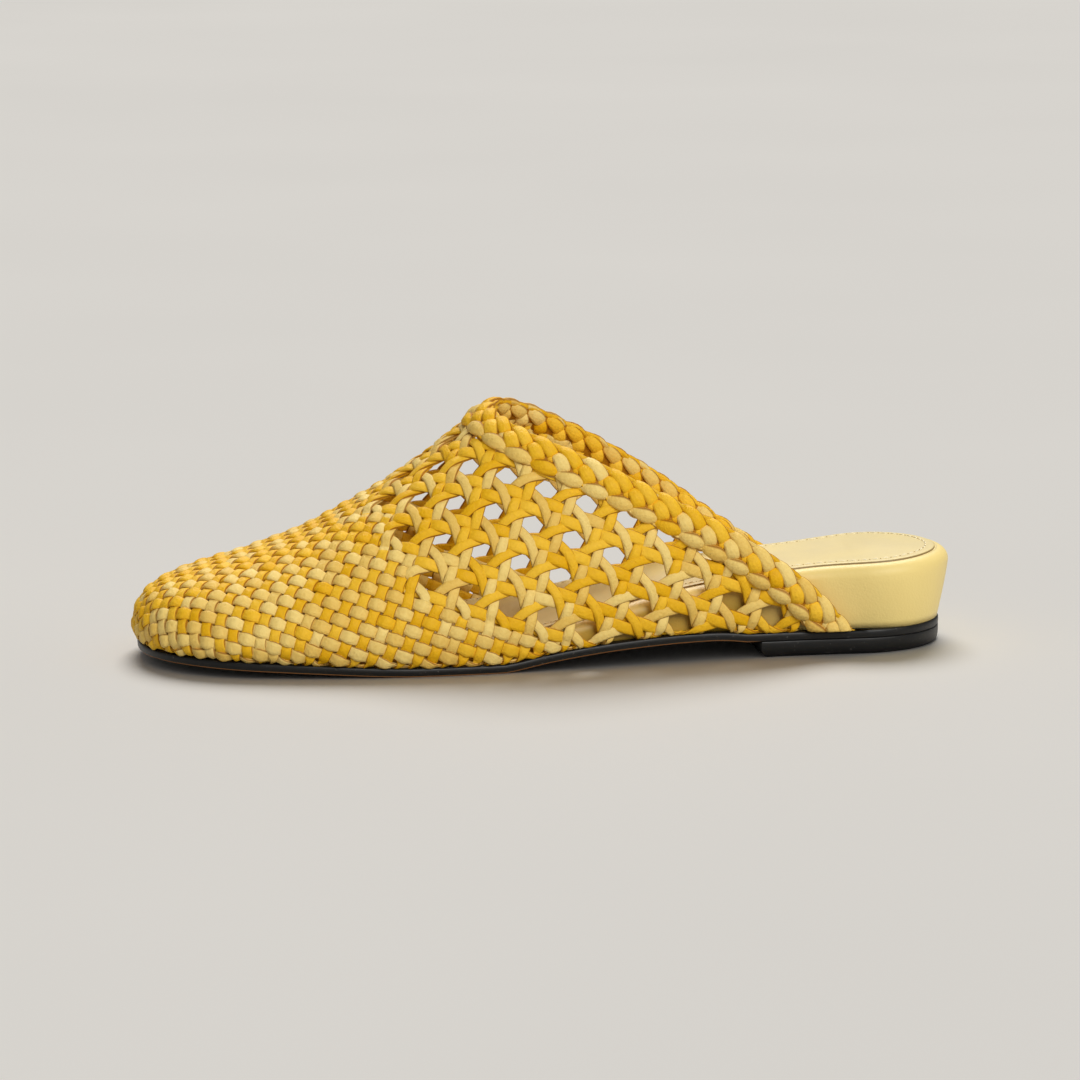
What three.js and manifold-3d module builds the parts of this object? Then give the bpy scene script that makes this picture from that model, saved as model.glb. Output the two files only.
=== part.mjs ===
// A flat backless mule: a woven leather vamp with a plaited collar on a wrapped wedge footbed,
// a thin leather outsole and a low heel. Left shoe, millimetres, +Z up.
// The toe points to -X and the heel to +X, the outer side is -Y and the inner side +Y.
// The origin is the middle of the heel's floor face.
// Inside the source a point is (s, y, z): s runs from the toe end of the outsole to its heel end.

import * as THREE from "three";
import { mergeVertices } from "three/addons/utils/BufferGeometryUtils.js";
import Module from "manifold-3d";

// Driving sizes of the sole
const LENGTH = 248;
const BALL_WIDTH = 82;
const SOLE_THICKNESS = 2.6;
const HEEL_HEIGHT = 4.9;
const TOE_SPRING = 3.2;
const SHANK_RISE = 5.8;
const HEEL_LENGTH = 57;
const HEEL_CENTRE = 218;
const TOE_ROUNDING = 36;
const HEEL_ROUNDING = 29;

// Driving sizes of the footbed and its sock
const HEEL_SEAT = 27;
const BALL_SEAT = 6.6;
const TOE_SEAT = 7.6;
const FOOTBED_INSET = 2.6;
const RIM_OVERHANG = 2.2;
const RIM_RADIUS = 3.6;
const SOCK_INSET = 4.2;
const SOCK_THICKNESS = 1.3;

// Driving sizes of the vamp
const WALL = 1.4;
const STRIP_RELIEF = 0.9;
const INSTEP_HEIGHT = 19.8;
const BALL_HEIGHT = 12.6;
const TOE_RISE = 6.5;
const SIDE_BULGE = 1.6;
const SECTION_TILT = THREE.MathUtils.degToRad(26);
const TOE_CENTRE = 47;
const SEAM_OUTSET = 0.2;

// Driving sizes of the weave: spacing of the holes along the instep and round the foot
const HOLE_PITCH_ALONG = 8.85;
const HOLE_PITCH_ROUND = 8.9;
const HOLE_START_ALONG = 0;
const STRIP_WIDTH = 2.9;
const HOLE_EDGE_LAND = 3.2;

// Driving sizes of the plaited collar
const BRAID_WIDTH = 9.6;
const BRAID_THICKNESS = 5;
const BRAID_OUTSET = 0.3;
const BRAID_PITCH = 8.3;
const LOBE_HEIGHT = 0.7;
const THROAT = 125.5;
const COLLAR_REACH = 66;

// Clearance between curved pieces
const GAP = 0.3;

const COLOURS = {
  black: 0x1b1b1a,
  cream: 0xe6cf8a,
  sock: 0xead9a4,
  yellow: 0xe9b21f,
  braid: 0xe8bf45,
};

const wasm = await Module();
wasm.setup();

// Smooth curve through the rows of a table, given as [place, value] pairs
function through(rows, place) {
  const last = rows.length - 1;
  const x = Math.min(Math.max(place, rows[0][0]), rows[last][0]);
  let i = 0;
  while (i < last - 1 && x > rows[i + 1][0]) i += 1;
  const slope = (k) => (rows[k + 1][1] - rows[k][1]) / (rows[k + 1][0] - rows[k][0]);
  const tangent = (k) => {
    if (k === 0) return slope(0);
    if (k === last) return slope(last - 1);
    const before = rows[k][0] - rows[k - 1][0];
    const after = rows[k + 1][0] - rows[k][0];
    return (slope(k) * before + slope(k - 1) * after) / (before + after);
  };
  const span = rows[i + 1][0] - rows[i][0];
  const t = (x - rows[i][0]) / span;
  const near = (1 + 2 * t) * (1 - t) ** 2 * rows[i][1] + t * (1 - t) ** 2 * span * tangent(i);
  const far = t * t * (3 - 2 * t) * rows[i + 1][1] - t * t * (1 - t) * span * tangent(i + 1);
  return near + far;
}

// Straight interpolation in two equal lists, the first one rising
function lookUp(places, values, place) {
  const last = places.length - 1;
  if (place <= places[0]) return values[0];
  if (place >= places[last]) return values[last];
  let low = 0;
  let high = last;
  while (high - low > 1) {
    const middle = (low + high) >> 1;
    if (places[middle] <= place) low = middle;
    else high = middle;
  }
  const share = (place - places[low]) / (places[high] - places[low]);
  return values[low] + share * (values[high] - values[low]);
}

function smoothStep(from, to, value) {
  const t = Math.min(Math.max((value - from) / (to - from), 0), 1);
  return t * t * (3 - 2 * t);
}

// Half widths of the outsole as shares of the ball width, each row a tenth of the length further back
const OUTER_HALF = [0.38, 0.44, 0.495, 0.52, 0.51, 0.47, 0.42, 0.375, 0.35, 0.345, 0.34];
const INNER_HALF = [0.4, 0.455, 0.485, 0.49, 0.455, 0.4, 0.355, 0.335, 0.335, 0.34, 0.34];
const widthRows = (shares) => shares.map((share, i) => [(i / 10) * LENGTH, share * BALL_WIDTH]);
const HALF_ROWS = { outer: widthRows(OUTER_HALF), inner: widthRows(INNER_HALF) };

// Half width of the outsole at s on one side, rounded off at the toe and at the heel
function halfWidth(s, side) {
  const toe = Math.min(Math.max(s / TOE_ROUNDING, 0), 1);
  const heel = Math.min(Math.max((LENGTH - s) / HEEL_ROUNDING, 0), 1);
  const toeShare = (1 - (1 - toe) ** 2.4) ** (1 / 2.4);
  const heelShare = (1 - (1 - heel) ** 2.05) ** (1 / 2.05);
  return through(HALF_ROWS[side], s) * toeShare * heelShare;
}

// Underside of the outsole: share of the length, height above the floor
const BREAST = HEEL_CENTRE + HEEL_LENGTH / 2 - HEEL_LENGTH;
const UNDERSIDE = [
  [0, TOE_SPRING],
  [0.048 * LENGTH, 0.9 * TOE_SPRING],
  [0.12 * LENGTH, 0.68 * TOE_SPRING],
  [0.218 * LENGTH, 0.34 * TOE_SPRING],
  [0.28 * LENGTH, 0.09 * TOE_SPRING],
  [0.32 * LENGTH, 0],
  [0.43 * LENGTH, 0],
  [0.488 * LENGTH, 0.41 * SHANK_RISE],
  [0.548 * LENGTH, 0.72 * SHANK_RISE],
  [0.605 * LENGTH, 0.9 * SHANK_RISE],
  [0.665 * LENGTH, SHANK_RISE],
  [0.71 * LENGTH, 0.98 * SHANK_RISE],
  [BREAST - 4, HEEL_HEIGHT],
];
const SEAT_START = BREAST - 4;
const FLAT = [0.32 * LENGTH, 0.43 * LENGTH];
function underside(s) {
  if (s >= SEAT_START) return HEEL_HEIGHT;
  return s > FLAT[0] && s < FLAT[1] ? 0 : Math.max(through(UNDERSIDE, s), 0);
}
const soleTop = (s) => underside(s) + SOLE_THICKNESS;

// Top of the footbed: share of the length, height above the floor
const SEAT = [
  [0, TOE_SEAT],
  [0.12 * LENGTH, TOE_SEAT + 0.2 * (BALL_SEAT - TOE_SEAT)],
  [0.24 * LENGTH, BALL_SEAT],
  [0.34 * LENGTH, BALL_SEAT],
  [0.42 * LENGTH, BALL_SEAT + 0.1 * (HEEL_SEAT - BALL_SEAT)],
  [0.52 * LENGTH, BALL_SEAT + 0.31 * (HEEL_SEAT - BALL_SEAT)],
  [0.62 * LENGTH, BALL_SEAT + 0.58 * (HEEL_SEAT - BALL_SEAT)],
  [0.72 * LENGTH, BALL_SEAT + 0.82 * (HEEL_SEAT - BALL_SEAT)],
  [0.82 * LENGTH, BALL_SEAT + 0.96 * (HEEL_SEAT - BALL_SEAT)],
  [0.92 * LENGTH, HEEL_SEAT],
  [LENGTH + 20, HEEL_SEAT],
];
const seatTop = (s) => through(SEAT, s);

// Stations along the foot, closer together towards both rounded ends
function stations(from, to, count) {
  return Array.from({ length: count + 1 }, (_, i) => from + ((to - from) * (1 - Math.cos((Math.PI * i) / count))) / 2);
}

// One ring round the plan outline, moved outwards by grow(s): from the toe end along the outer side
// to the heel end, and back along the inner side
function ring(places, grow, height) {
  const side = (name, sign) =>
    places.map((s) => {
      const step = 0.05;
      const before = Math.max(s - step, 0);
      const after = Math.min(s + step, LENGTH);
      const ds = after - before;
      const dy = halfWidth(after, name) - halfWidth(before, name);
      const size = Math.hypot(ds, dy);
      const at = s - (grow(s) * dy) / size;
      const y = halfWidth(s, name) + (grow(s) * ds) / size;
      return [at, sign * y, height(s)];
    });
  const outer = side("outer", -1);
  const inner = side("inner", 1);
  return { outer, inner };
}

// A solid stacked from rings: the ends of each ring are joined across, and the first and last rings
// are closed by a ladder of quads
function stack(rings) {
  const columns = rings[0].outer.length;
  const points = [];
  const faces = [];
  const index = (level, side, i) => (level * 2 + side) * columns + i;
  for (const level of rings) points.push(...level.outer, ...level.inner);
  const quad = (a, b, c, d) => faces.push([a, b, c], [a, c, d]);
  for (let level = 0; level + 1 < rings.length; level += 1) {
    for (let i = 0; i + 1 < columns; i += 1) {
      quad(index(level, 0, i), index(level, 0, i + 1), index(level + 1, 0, i + 1), index(level + 1, 0, i));
      quad(index(level, 1, i + 1), index(level, 1, i), index(level + 1, 1, i), index(level + 1, 1, i + 1));
    }
    quad(index(level, 1, 0), index(level, 0, 0), index(level + 1, 0, 0), index(level + 1, 1, 0));
    const end = columns - 1;
    quad(index(level, 0, end), index(level, 1, end), index(level + 1, 1, end), index(level + 1, 0, end));
  }
  const top = rings.length - 1;
  for (let i = 0; i + 1 < columns; i += 1) {
    quad(index(0, 0, i), index(0, 1, i), index(0, 1, i + 1), index(0, 0, i + 1));
    quad(index(top, 0, i), index(top, 0, i + 1), index(top, 1, i + 1), index(top, 1, i));
  }
  return { points, faces };
}

// A triangle list in (s, y, z) as a three.js geometry in the part's own frame
function geometryOf({ points, faces }) {
  const flat = points.flatMap(([s, y, z]) => [s - HEEL_CENTRE, y, z]);
  const geometry = new THREE.BufferGeometry();
  geometry.setAttribute("position", new THREE.Float32BufferAttribute(flat, 3));
  geometry.setIndex(faces.flat());
  return geometry;
}

// A closed geometry as a solid for joining and cutting
function solidOf(geometry) {
  const bare = geometry.clone();
  bare.deleteAttribute("normal");
  bare.deleteAttribute("uv");
  bare.clearGroups();
  const merged = mergeVertices(bare, 1e-4);
  return new wasm.Manifold(
    new wasm.Mesh({
      numProp: 3,
      vertProperties: new Float32Array(merged.attributes.position.array),
      triVerts: new Uint32Array(merged.index.array),
    }),
  );
}

// The solid's triangles as a list of points and faces
function listOf(solid) {
  const mesh = solid.getMesh();
  const points = [];
  const faces = [];
  for (let i = 0; i < mesh.vertProperties.length; i += mesh.numProp) {
    points.push([mesh.vertProperties[i], mesh.vertProperties[i + 1], mesh.vertProperties[i + 2]]);
  }
  for (let i = 0; i < mesh.triVerts.length; i += 3) {
    faces.push([mesh.triVerts[i], mesh.triVerts[i + 1], mesh.triVerts[i + 2]]);
  }
  return { points, faces };
}

function bareGeometry({ points, faces }) {
  const geometry = new THREE.BufferGeometry();
  geometry.setAttribute("position", new THREE.Float32BufferAttribute(points.flat(), 3));
  geometry.setIndex(faces.flat());
  return geometry;
}

// Outsole: a leather slab of even thickness, its lower edge slightly rounded
function outsole() {
  const places = stations(0, LENGTH, 40);
  return stack([
    ring(places, () => -0.7, underside),
    ring(places, () => -0.1, (s) => underside(s) + 0.6),
    ring(places, () => 0, (s) => soleTop(s) - 0.5),
    ring(places, () => -0.4, soleTop),
  ]);
}

// Heel lift: the outsole's outline behind the breast, with an upright breast and flat faces
function heelLift() {
  const places = stations(BREAST, LENGTH, 18);
  return stack([
    ring(places, () => -0.9, () => 0),
    ring(places, () => -0.2, () => 0.9),
    ring(places, () => 0, () => 0.6 * HEEL_HEIGHT),
    ring(places, () => -0.1, () => HEEL_HEIGHT),
  ]);
}

// Footbed: inside the vamp at the front, and with a rolled rim that overhangs behind the collar
function footbed() {
  const places = stations(0, LENGTH, 36);
  const swell = (s) => smoothStep(0.863 * LENGTH, 0.94 * LENGTH, s);
  const edge = (s) => -FOOTBED_INSET + (FOOTBED_INSET + RIM_OVERHANG) * swell(s);
  const foot = (s) => soleTop(s) + GAP;
  const depth = (s) => seatTop(s) - foot(s);
  const rim = (s) => Math.min(RIM_RADIUS, 0.6 * depth(s));
  const rolled = (angle) =>
    ring(
      places,
      (s) => edge(s) - rim(s) * (1 - Math.cos(angle)),
      (s) => seatTop(s) - rim(s) * (1 - Math.sin(angle)),
    );
  return stack([
    ring(places, () => -FOOTBED_INSET, foot),
    ring(places, (s) => edge(s) + 0.45 * (-FOOTBED_INSET - edge(s)), (s) => foot(s) + 0.45 * (depth(s) - rim(s))),
    rolled(0),
    rolled(Math.PI / 6),
    rolled(Math.PI / 3),
    rolled(Math.PI / 2),
  ]);
}

// Sock: a thin sheet on the footbed, set in from its rim
function sock() {
  const places = stations(0, LENGTH, 30);
  const swell = (s) => smoothStep(0.863 * LENGTH, 0.94 * LENGTH, s);
  const edge = (s) => -FOOTBED_INSET + (FOOTBED_INSET + RIM_OVERHANG) * swell(s) - SOCK_INSET;
  const base = (s) => seatTop(s) + GAP;
  return stack([
    ring(places, edge, base),
    ring(places, edge, (s) => base(s) + 0.6 * SOCK_THICKNESS),
    ring(places, (s) => edge(s) - 0.5, (s) => base(s) + SOCK_THICKNESS),
  ]);
}

// The vamp's surface.
// Sections lie in planes tilted by SECTION_TILT, square to the instep. A point of the side view is
// p along the instep and h across it: p = s cos + z sin, h = -s sin + z cos.
const COS = Math.cos(SECTION_TILT);
const SIN = Math.sin(SECTION_TILT);

// Height of the instep line above the p axis. Behind the throat it runs on level and only shapes the sides.
const INSTEP = [
  [TOE_CENTRE, BALL_HEIGHT + 0.22 * (INSTEP_HEIGHT - BALL_HEIGHT)],
  [0.5 * THROAT, BALL_HEIGHT],
  [0.61 * THROAT, BALL_HEIGHT + 0.06 * (INSTEP_HEIGHT - BALL_HEIGHT)],
  [0.722 * THROAT, BALL_HEIGHT + 0.2 * (INSTEP_HEIGHT - BALL_HEIGHT)],
  [0.84 * THROAT, BALL_HEIGHT + 0.5 * (INSTEP_HEIGHT - BALL_HEIGHT)],
  [0.956 * THROAT, BALL_HEIGHT + 0.92 * (INSTEP_HEIGHT - BALL_HEIGHT)],
  [1.03 * THROAT, INSTEP_HEIGHT],
  [1.2 * THROAT, INSTEP_HEIGHT],
  [2 * THROAT, INSTEP_HEIGHT],
];
const instep = (p) => through(INSTEP, p);

// The seam, where the vamp meets the outsole, as rising lists of p, half width and h for one side,
// and for the part before the toe centre the same by bearing from that centre
function seamTable(side) {
  const table = { p: [], y: [], h: [], bearing: [], reach: [], fall: [] };
  const count = 260;
  for (let i = 0; i <= count; i += 1) {
    const s = 0.985 * LENGTH * (1 - Math.cos((Math.PI / 2) * (i / count)));
    const step = 0.02;
    const ds = i === 0 ? 0 : 2 * step;
    const dy = halfWidth(s + step, side) - halfWidth(Math.max(s - step, 0), side);
    const size = Math.hypot(ds, dy);
    const at = s - (SEAM_OUTSET * dy) / size;
    const y = i === 0 ? 0 : halfWidth(s, side) + (SEAM_OUTSET * ds) / size;
    const z = soleTop(Math.max(at, 0)) + GAP;
    const p = at * COS + z * SIN;
    const h = -at * SIN + z * COS;
    table.p.push(p);
    table.y.push(y);
    table.h.push(h);
    if (p <= TOE_CENTRE) {
      table.bearing.push(Math.atan2(y, TOE_CENTRE - p));
      table.reach.push(Math.hypot(y, TOE_CENTRE - p));
      table.fall.push(h);
    }
  }
  const side90 = Math.PI / 2;
  table.bearing.push(side90);
  table.reach.push(lookUp(table.p, table.y, TOE_CENTRE));
  table.fall.push(lookUp(table.p, table.h, TOE_CENTRE));
  return table;
}
const SEAMS = { outer: seamTable("outer"), inner: seamTable("inner") };

// The section through a point: it runs from the instep line (or, round the toe, from the toe centre)
// down to the seam as a quarter of a superellipse, with a small bulge over the seam.
// Round the toe the sections turn about the toe centre like the spokes of a wheel.
function section(p, q) {
  const side = q >= 0 ? "outer" : "inner";
  const seam = SEAMS[side];
  const round = p < TOE_CENTRE;
  const bearing = round ? Math.atan2(Math.abs(q), TOE_CENTRE - p) : Math.PI / 2;
  const reach = round ? lookUp(seam.bearing, seam.reach, bearing) : lookUp(seam.p, seam.y, p);
  const low = round ? lookUp(seam.bearing, seam.fall, bearing) : lookUp(seam.p, seam.h, p);
  const high = instep(Math.max(p, TOE_CENTRE));
  const frontal = round ? Math.cos(bearing) ** 2 : 0;
  const flatness = 2.4 + 1.6 * frontal;
  const fullness = 2.3 + 0.2 * frontal;
  const bulge = SIDE_BULGE * (1 - 0.9 * frontal);
  const outline = [];
  const steps = 40;
  for (let i = 0; i <= steps; i += 1) {
    const angle = (Math.PI / 2) * (i / steps);
    const out = i === 0 ? 0 : Math.sin(angle) ** (2 / flatness);
    const up = i === steps ? 0 : Math.cos(angle) ** (2 / fullness);
    const rise = TOE_RISE * frontal * out * (1 - out ** 6);
    outline.push([reach * out + bulge * 6.75 * up * (1 - up) ** 2, low + (high - low) * up + rise]);
  }
  outline.push([reach, low - 30]);
  const along = [0];
  for (let i = 1; i < outline.length; i += 1) {
    const run = outline[i][0] - outline[i - 1][0];
    const drop = outline[i][1] - outline[i - 1][1];
    along.push(along[i - 1] + Math.hypot(run, drop));
  }
  return { side, round, bearing, outline, along, girth: along[steps] };
}

// Point of the vamp's surface at p along the instep and q round the foot (outer side positive)
function surface(p, q) {
  const cut = section(p, q);
  const arc = cut.round ? Math.hypot(q, TOE_CENTRE - p) : Math.abs(q);
  const out = lookUp(cut.along, cut.outline.map((row) => row[0]), arc);
  const h = lookUp(cut.along, cut.outline.map((row) => row[1]), arc);
  const forward = cut.round ? out * Math.cos(cut.bearing) : 0;
  const across = cut.round ? out * Math.sin(cut.bearing) : out;
  const along = cut.round ? TOE_CENTRE - forward : p;
  const y = cut.side === "outer" ? -across : across;
  return new THREE.Vector3(along * COS - h * SIN, y, along * SIN + h * COS);
}

// The surface's directions along p and along q, and its outward normal
function frameAt(p, q) {
  const step = 0.6;
  const alongP = surface(p + step, q).sub(surface(p - step, q)).divideScalar(2 * step);
  const alongQ = surface(p, q + step).sub(surface(p, q - step)).divideScalar(2 * step);
  const normal = new THREE.Vector3().crossVectors(alongQ, alongP).normalize();
  return { alongP, alongQ, normal };
}

// The step in (p, q) that moves a point of the surface by a given vector that lies in the surface
function stepFor(frame, vector) {
  const pp = frame.alongP.dot(frame.alongP);
  const pq = frame.alongP.dot(frame.alongQ);
  const qq = frame.alongQ.dot(frame.alongQ);
  const vp = frame.alongP.dot(vector);
  const vq = frame.alongQ.dot(vector);
  const area = pp * qq - pq * pq;
  return [(vp * qq - vq * pq) / area, (vq * pp - vp * pq) / area];
}

// Middle line of the collar: q round the foot, then p as a share of COLLAR_REACH behind the throat.
// It stands a little higher on the inner side (q below 0) than on the outer side.
const COLLAR = [
  [-132, 1.068],
  [-117, 1],
  [-102, 0.932],
  [-91, 0.841],
  [-77, 0.724],
  [-63, 0.611],
  [-50, 0.489],
  [-37, 0.36],
  [-25, 0.227],
  [-12, 0.083],
  [0, 0],
  [12, 0.005],
  [23, 0.072],
  [34, 0.2],
  [45, 0.344],
  [57, 0.495],
  [70, 0.647],
  [86, 0.806],
  [102, 0.932],
  [117, 1],
  [132, 1.068],
];
const COLLAR_END = 124;
const collarP = (q) => THROAT + COLLAR_REACH * through(COLLAR, q);

// Point, forward direction, direction across (towards the opening) and normal on the collar's middle line
function collarFrame(q) {
  const step = 0.8;
  const frame = frameAt(collarP(q), q);
  const forward = surface(collarP(q + step), q + step).sub(surface(collarP(q - step), q - step)).normalize();
  const across = new THREE.Vector3().crossVectors(frame.normal, forward).normalize();
  return { frame, forward, across, point: surface(collarP(q), q) };
}

// Outline of the flat pattern of the vamp, as points (p, q)
function patternOutline() {
  const outline = [];
  const seamPoint = (p, q) => section(p, q).girth;
  const lastP = { outer: 0, inner: 0 };
  const edge = [];
  const offset = -(BRAID_WIDTH / 2 + GAP + 0.15);
  for (let q = -COLLAR_END; q <= COLLAR_END + 0.01; q += 6.2) {
    const { frame, across } = collarFrame(q);
    const [dp, dq] = stepFor(frame, across.clone().multiplyScalar(offset));
    const p = collarP(q) + dp;
    const side = q >= 0 ? 1 : -1;
    if (Math.abs(q + dq) < section(p, side).girth) edge.push([p, q + dq]);
  }
  lastP.inner = edge[0][0];
  lastP.outer = edge[edge.length - 1][0];
  const sideSeam = (sign, end) => {
    const rows = [];
    const count = 14;
    for (let i = 0; i <= count; i += 1) {
      const p = TOE_CENTRE + ((end + 1.2 - TOE_CENTRE) * i) / count;
      rows.push([p, sign * seamPoint(p, sign)]);
    }
    return rows;
  };
  const toeSeam = [];
  for (let i = -13; i <= 13; i += 1) {
    const bearing = ((Math.PI / 2) * i) / 14;
    const far = 10;
    const p = TOE_CENTRE - far * Math.cos(bearing);
    const q = far * Math.sin(bearing);
    const reach = seamPoint(p, q);
    toeSeam.push([TOE_CENTRE - reach * Math.cos(bearing), reach * Math.sin(bearing)]);
  }
  outline.push(...toeSeam);
  outline.push(...sideSeam(1, lastP.outer));
  outline.push(...edge.reverse());
  outline.push(...sideSeam(-1, lastP.inner).reverse());
  return outline;
}

// The weave's own axes: holes lie at whole numbers of a and b. The strips run along a and along b at
// thirds of a cell, and in the open webbing two more families run along p and along q.
const toWeave = (p, q) => {
  const i = (p - HOLE_START_ALONG) / HOLE_PITCH_ALONG;
  const j = q / HOLE_PITCH_ROUND - 0.5;
  return [(i + j + 1) / 2, (j - i + 1) / 2];
};
const fromWeave = (a, b) => {
  const i = a - b;
  const j = a + b - 1;
  return [HOLE_START_ALONG + HOLE_PITCH_ALONG * i, HOLE_PITCH_ROUND * (j + 0.5)];
};

// Where the closed weave of the toe gives way to the open webbing: girth round the foot, then p
// as a share of the throat's
const OPEN_FROM = [
  [0, 0.725],
  [20, 0.641],
  [31, 0.621],
  [50, 0.665],
  [62, 0.697],
  [77, 0.8],
  [89, 0.88],
  [120, 1.2],
];
const isOpen = (p, q) => p > THROAT * through(OPEN_FROM, Math.abs(q));

// A dish added to the flat pattern while it is cut, and taken out again when it is laid on the last
const DISH = 0.002;
const dish = (p, q) => DISH * ((p - TOE_CENTRE) ** 2 + q * q);

// Cell size of the weave, and how far a hole reaches from its middle towards the strips beside it
const CELL = Math.hypot(HOLE_PITCH_ALONG, HOLE_PITCH_ROUND);
const HOLE_REACH = 1 / 3 - STRIP_WIDTH / 2 / CELL;

// Edge lines of the strips in the weave's axes, from a first cell on: a cell holds the broad strand that
// runs through the holes and the pair beside it. The lining has one line a cell, between the pair.
const STRAND_EDGES = [-HOLE_REACH, HOLE_REACH, 0.5];
const LINING_EDGES = [0.5];
const edgeLines = (edges, first, cells) =>
  Array.from({ length: cells * edges.length + 1 }, (_, k) => first + Math.floor(k / edges.length) + edges[k % edges.length]);

// A block under a sheet of four-sided cells between the lines. heightAt gives the sheet's height at a
// corner, and roof gives a cell its raised ridge or peak, or nothing for a plain cell.
function terrain(linesA, linesB, from, heightAt, roof) {
  const points = [];
  const faces = [];
  const known = new Map();
  const point = (a, b, t) => {
    const key = `${a.toFixed(4)} ${b.toFixed(4)} ${t === null ? "base" : "top"}`;
    if (!known.has(key)) {
      const [p, q] = fromWeave(a, b);
      known.set(key, points.length);
      points.push([p, q, t === null ? from : t + dish(p, q)]);
    }
    return known.get(key);
  };
  const lastA = linesA.length - 2;
  const lastB = linesB.length - 2;
  for (let i = 0; i <= lastA; i += 1) {
    for (let j = 0; j <= lastB; j += 1) {
      const corners = [
        [linesA[i], linesB[j]],
        [linesA[i + 1], linesB[j]],
        [linesA[i + 1], linesB[j + 1]],
        [linesA[i], linesB[j + 1]],
      ];
      const top = corners.map(([x, y]) => point(x, y, heightAt(x, y)));
      const base = corners.map(([x, y]) => point(x, y, null));
      faces.push([base[0], base[2], base[1]], [base[0], base[3], base[2]]);
      const ridge = roof(i, j, (linesA[i] + linesA[i + 1]) / 2, (linesB[j] + linesB[j + 1]) / 2);
      if (!ridge) {
        faces.push([top[0], top[1], top[2]], [top[0], top[2], top[3]]);
      } else if (ridge.ends.length === 1) {
        const peak = point(...ridge.ends[0], ridge.height);
        for (let k = 0; k < 4; k += 1) faces.push([top[k], top[(k + 1) % 4], peak]);
      } else {
        const [first, second] = ridge.ends.map(([x, y]) => point(x, y, ridge.height));
        const at = (k) => top[(k + (ridge.alongA ? 0 : 1)) % 4];
        faces.push([at(0), at(1), second], [at(0), second, first], [at(1), at(2), second]);
        faces.push([at(2), at(3), first], [at(2), first, second], [at(3), at(0), first]);
      }
      const wall = (outermost, k, n) => {
        if (outermost) faces.push([base[k], base[n], top[n]], [base[k], top[n], top[k]]);
      };
      wall(j === 0, 0, 1);
      wall(i === lastA, 1, 2);
      wall(j === lastB, 2, 3);
      wall(i === 0, 3, 0);
    }
  }
  return { points, faces };
}

// Each crossing of the closed weave carries a roof along the strip that lies on top. In the open webbing
// the crossings of two pairs carry a peak, and the cells beside a hole are shaped by their corners alone.
function stripRoof(column, row, a, b) {
  const [p, q] = fromWeave(a, b);
  if (isOpen(p, q)) {
    if (column % 3 === 0 || row % 3 === 0) return null;
    return { ends: [[a, b]], height: STRIP_RELIEF };
  }
  const reach = 0.1;
  const alongA = (column + row) % 2 === 0;
  const ends = alongA
    ? [
        [a - reach, b],
        [a + reach, b],
      ]
    : [
        [a, b - reach],
        [a, b + reach],
      ];
  return { ends, alongA, height: STRIP_RELIEF };
}

// In the open webbing the middle line of each pair of strips is raised too
function stripCorner(a, b) {
  const [p, q] = fromWeave(a, b);
  const middle = (place) => Math.abs(place - Math.floor(place) - 0.5) < 0.01;
  return isOpen(p, q) && (middle(a) || middle(b)) ? 0.6 * STRIP_RELIEF : 0;
}

// Prism over an outline of (p, q) points
function prism(outline) {
  const shape = new THREE.Shape(outline.map(([p, q]) => new THREE.Vector2(p, q)));
  const geometry = new THREE.ExtrudeGeometry(shape, { depth: 240, bevelEnabled: false, steps: 1 });
  geometry.translate(0, 0, -60);
  return geometry;
}

// The eight-sided hole at whole numbers of a and b: four sides lie along the pairs of strips and four
// along the slanting ones
function holeOutline(a, b) {
  const flat = HOLE_REACH;
  const corner = 0.5 - (STRIP_WIDTH / 2 / CELL) * Math.SQRT2 - flat;
  const corners = [
    [flat, corner],
    [corner, flat],
    [-corner, flat],
    [-flat, corner],
    [-flat, -corner],
    [-corner, -flat],
    [corner, -flat],
    [flat, -corner],
  ];
  return corners.map(([x, y]) => fromWeave(a + x, b + y));
}

// A hole is cut where all of it lies in the webbing, clear of the seam and of the collar
function holes() {
  const found = [];
  const offset = BRAID_WIDTH / 2 + HOLE_EDGE_LAND * 0.35;
  for (let a = -10; a <= 22; a += 1) {
    for (let b = -22; b <= 12; b += 1) {
      const [p, q] = fromWeave(a, b);
      if (!isOpen(p - 1, q) || Math.abs(q) > COLLAR_END - 8) continue;
      const outline = holeOutline(a, b);
      const clear = outline.every(([x, y]) => {
        const seam = section(x, y).girth - Math.abs(y) > HOLE_EDGE_LAND;
        return seam && x < collarP(y) - offset * 1.35;
      });
      if (clear) found.push(outline);
    }
  }
  return found;
}

// Vamp: a flat pattern with raised strips and holes, cut to its outline and laid on the last's surface
function upper() {
  const firstA = -9;
  const firstB = -20;
  const cells = 29;
  const fine = (first) => edgeLines(STRAND_EDGES, first, cells);
  const broad = (first) => edgeLines(LINING_EDGES, first, cells);
  const skin = solidOf(bareGeometry(terrain(fine(firstA), fine(firstB), -40, stripCorner, stripRoof)));
  const plain = terrain(broad(firstA), broad(firstB), -50, () => -WALL, () => null);
  const lining = solidOf(bareGeometry(plain));
  let pattern = skin.subtract(lining).intersect(solidOf(prism(patternOutline())));
  for (const outline of holes()) pattern = pattern.subtract(solidOf(prism(outline)));
  const { points, faces } = listOf(pattern);
  const laid = points.map(([p, q, z]) => {
    const { normal } = frameAt(p, q);
    return surface(p, q).addScaledVector(normal, z - dish(p, q)).toArray();
  });
  // The outer side's q runs towards -Y, so each facet turns round as it is laid
  return { points: laid, faces: faces.map(([i, j, k]) => [i, k, j]) };
}

// Everything from far below up to the clearance over the outsole's top, to cut what stands on it
function groundCutter() {
  const places = stations(0, LENGTH, 56);
  const grow = () => 14;
  return stack([ring(places, grow, () => -40), ring(places, grow, (s) => soleTop(s) + GAP)]);
}

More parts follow.
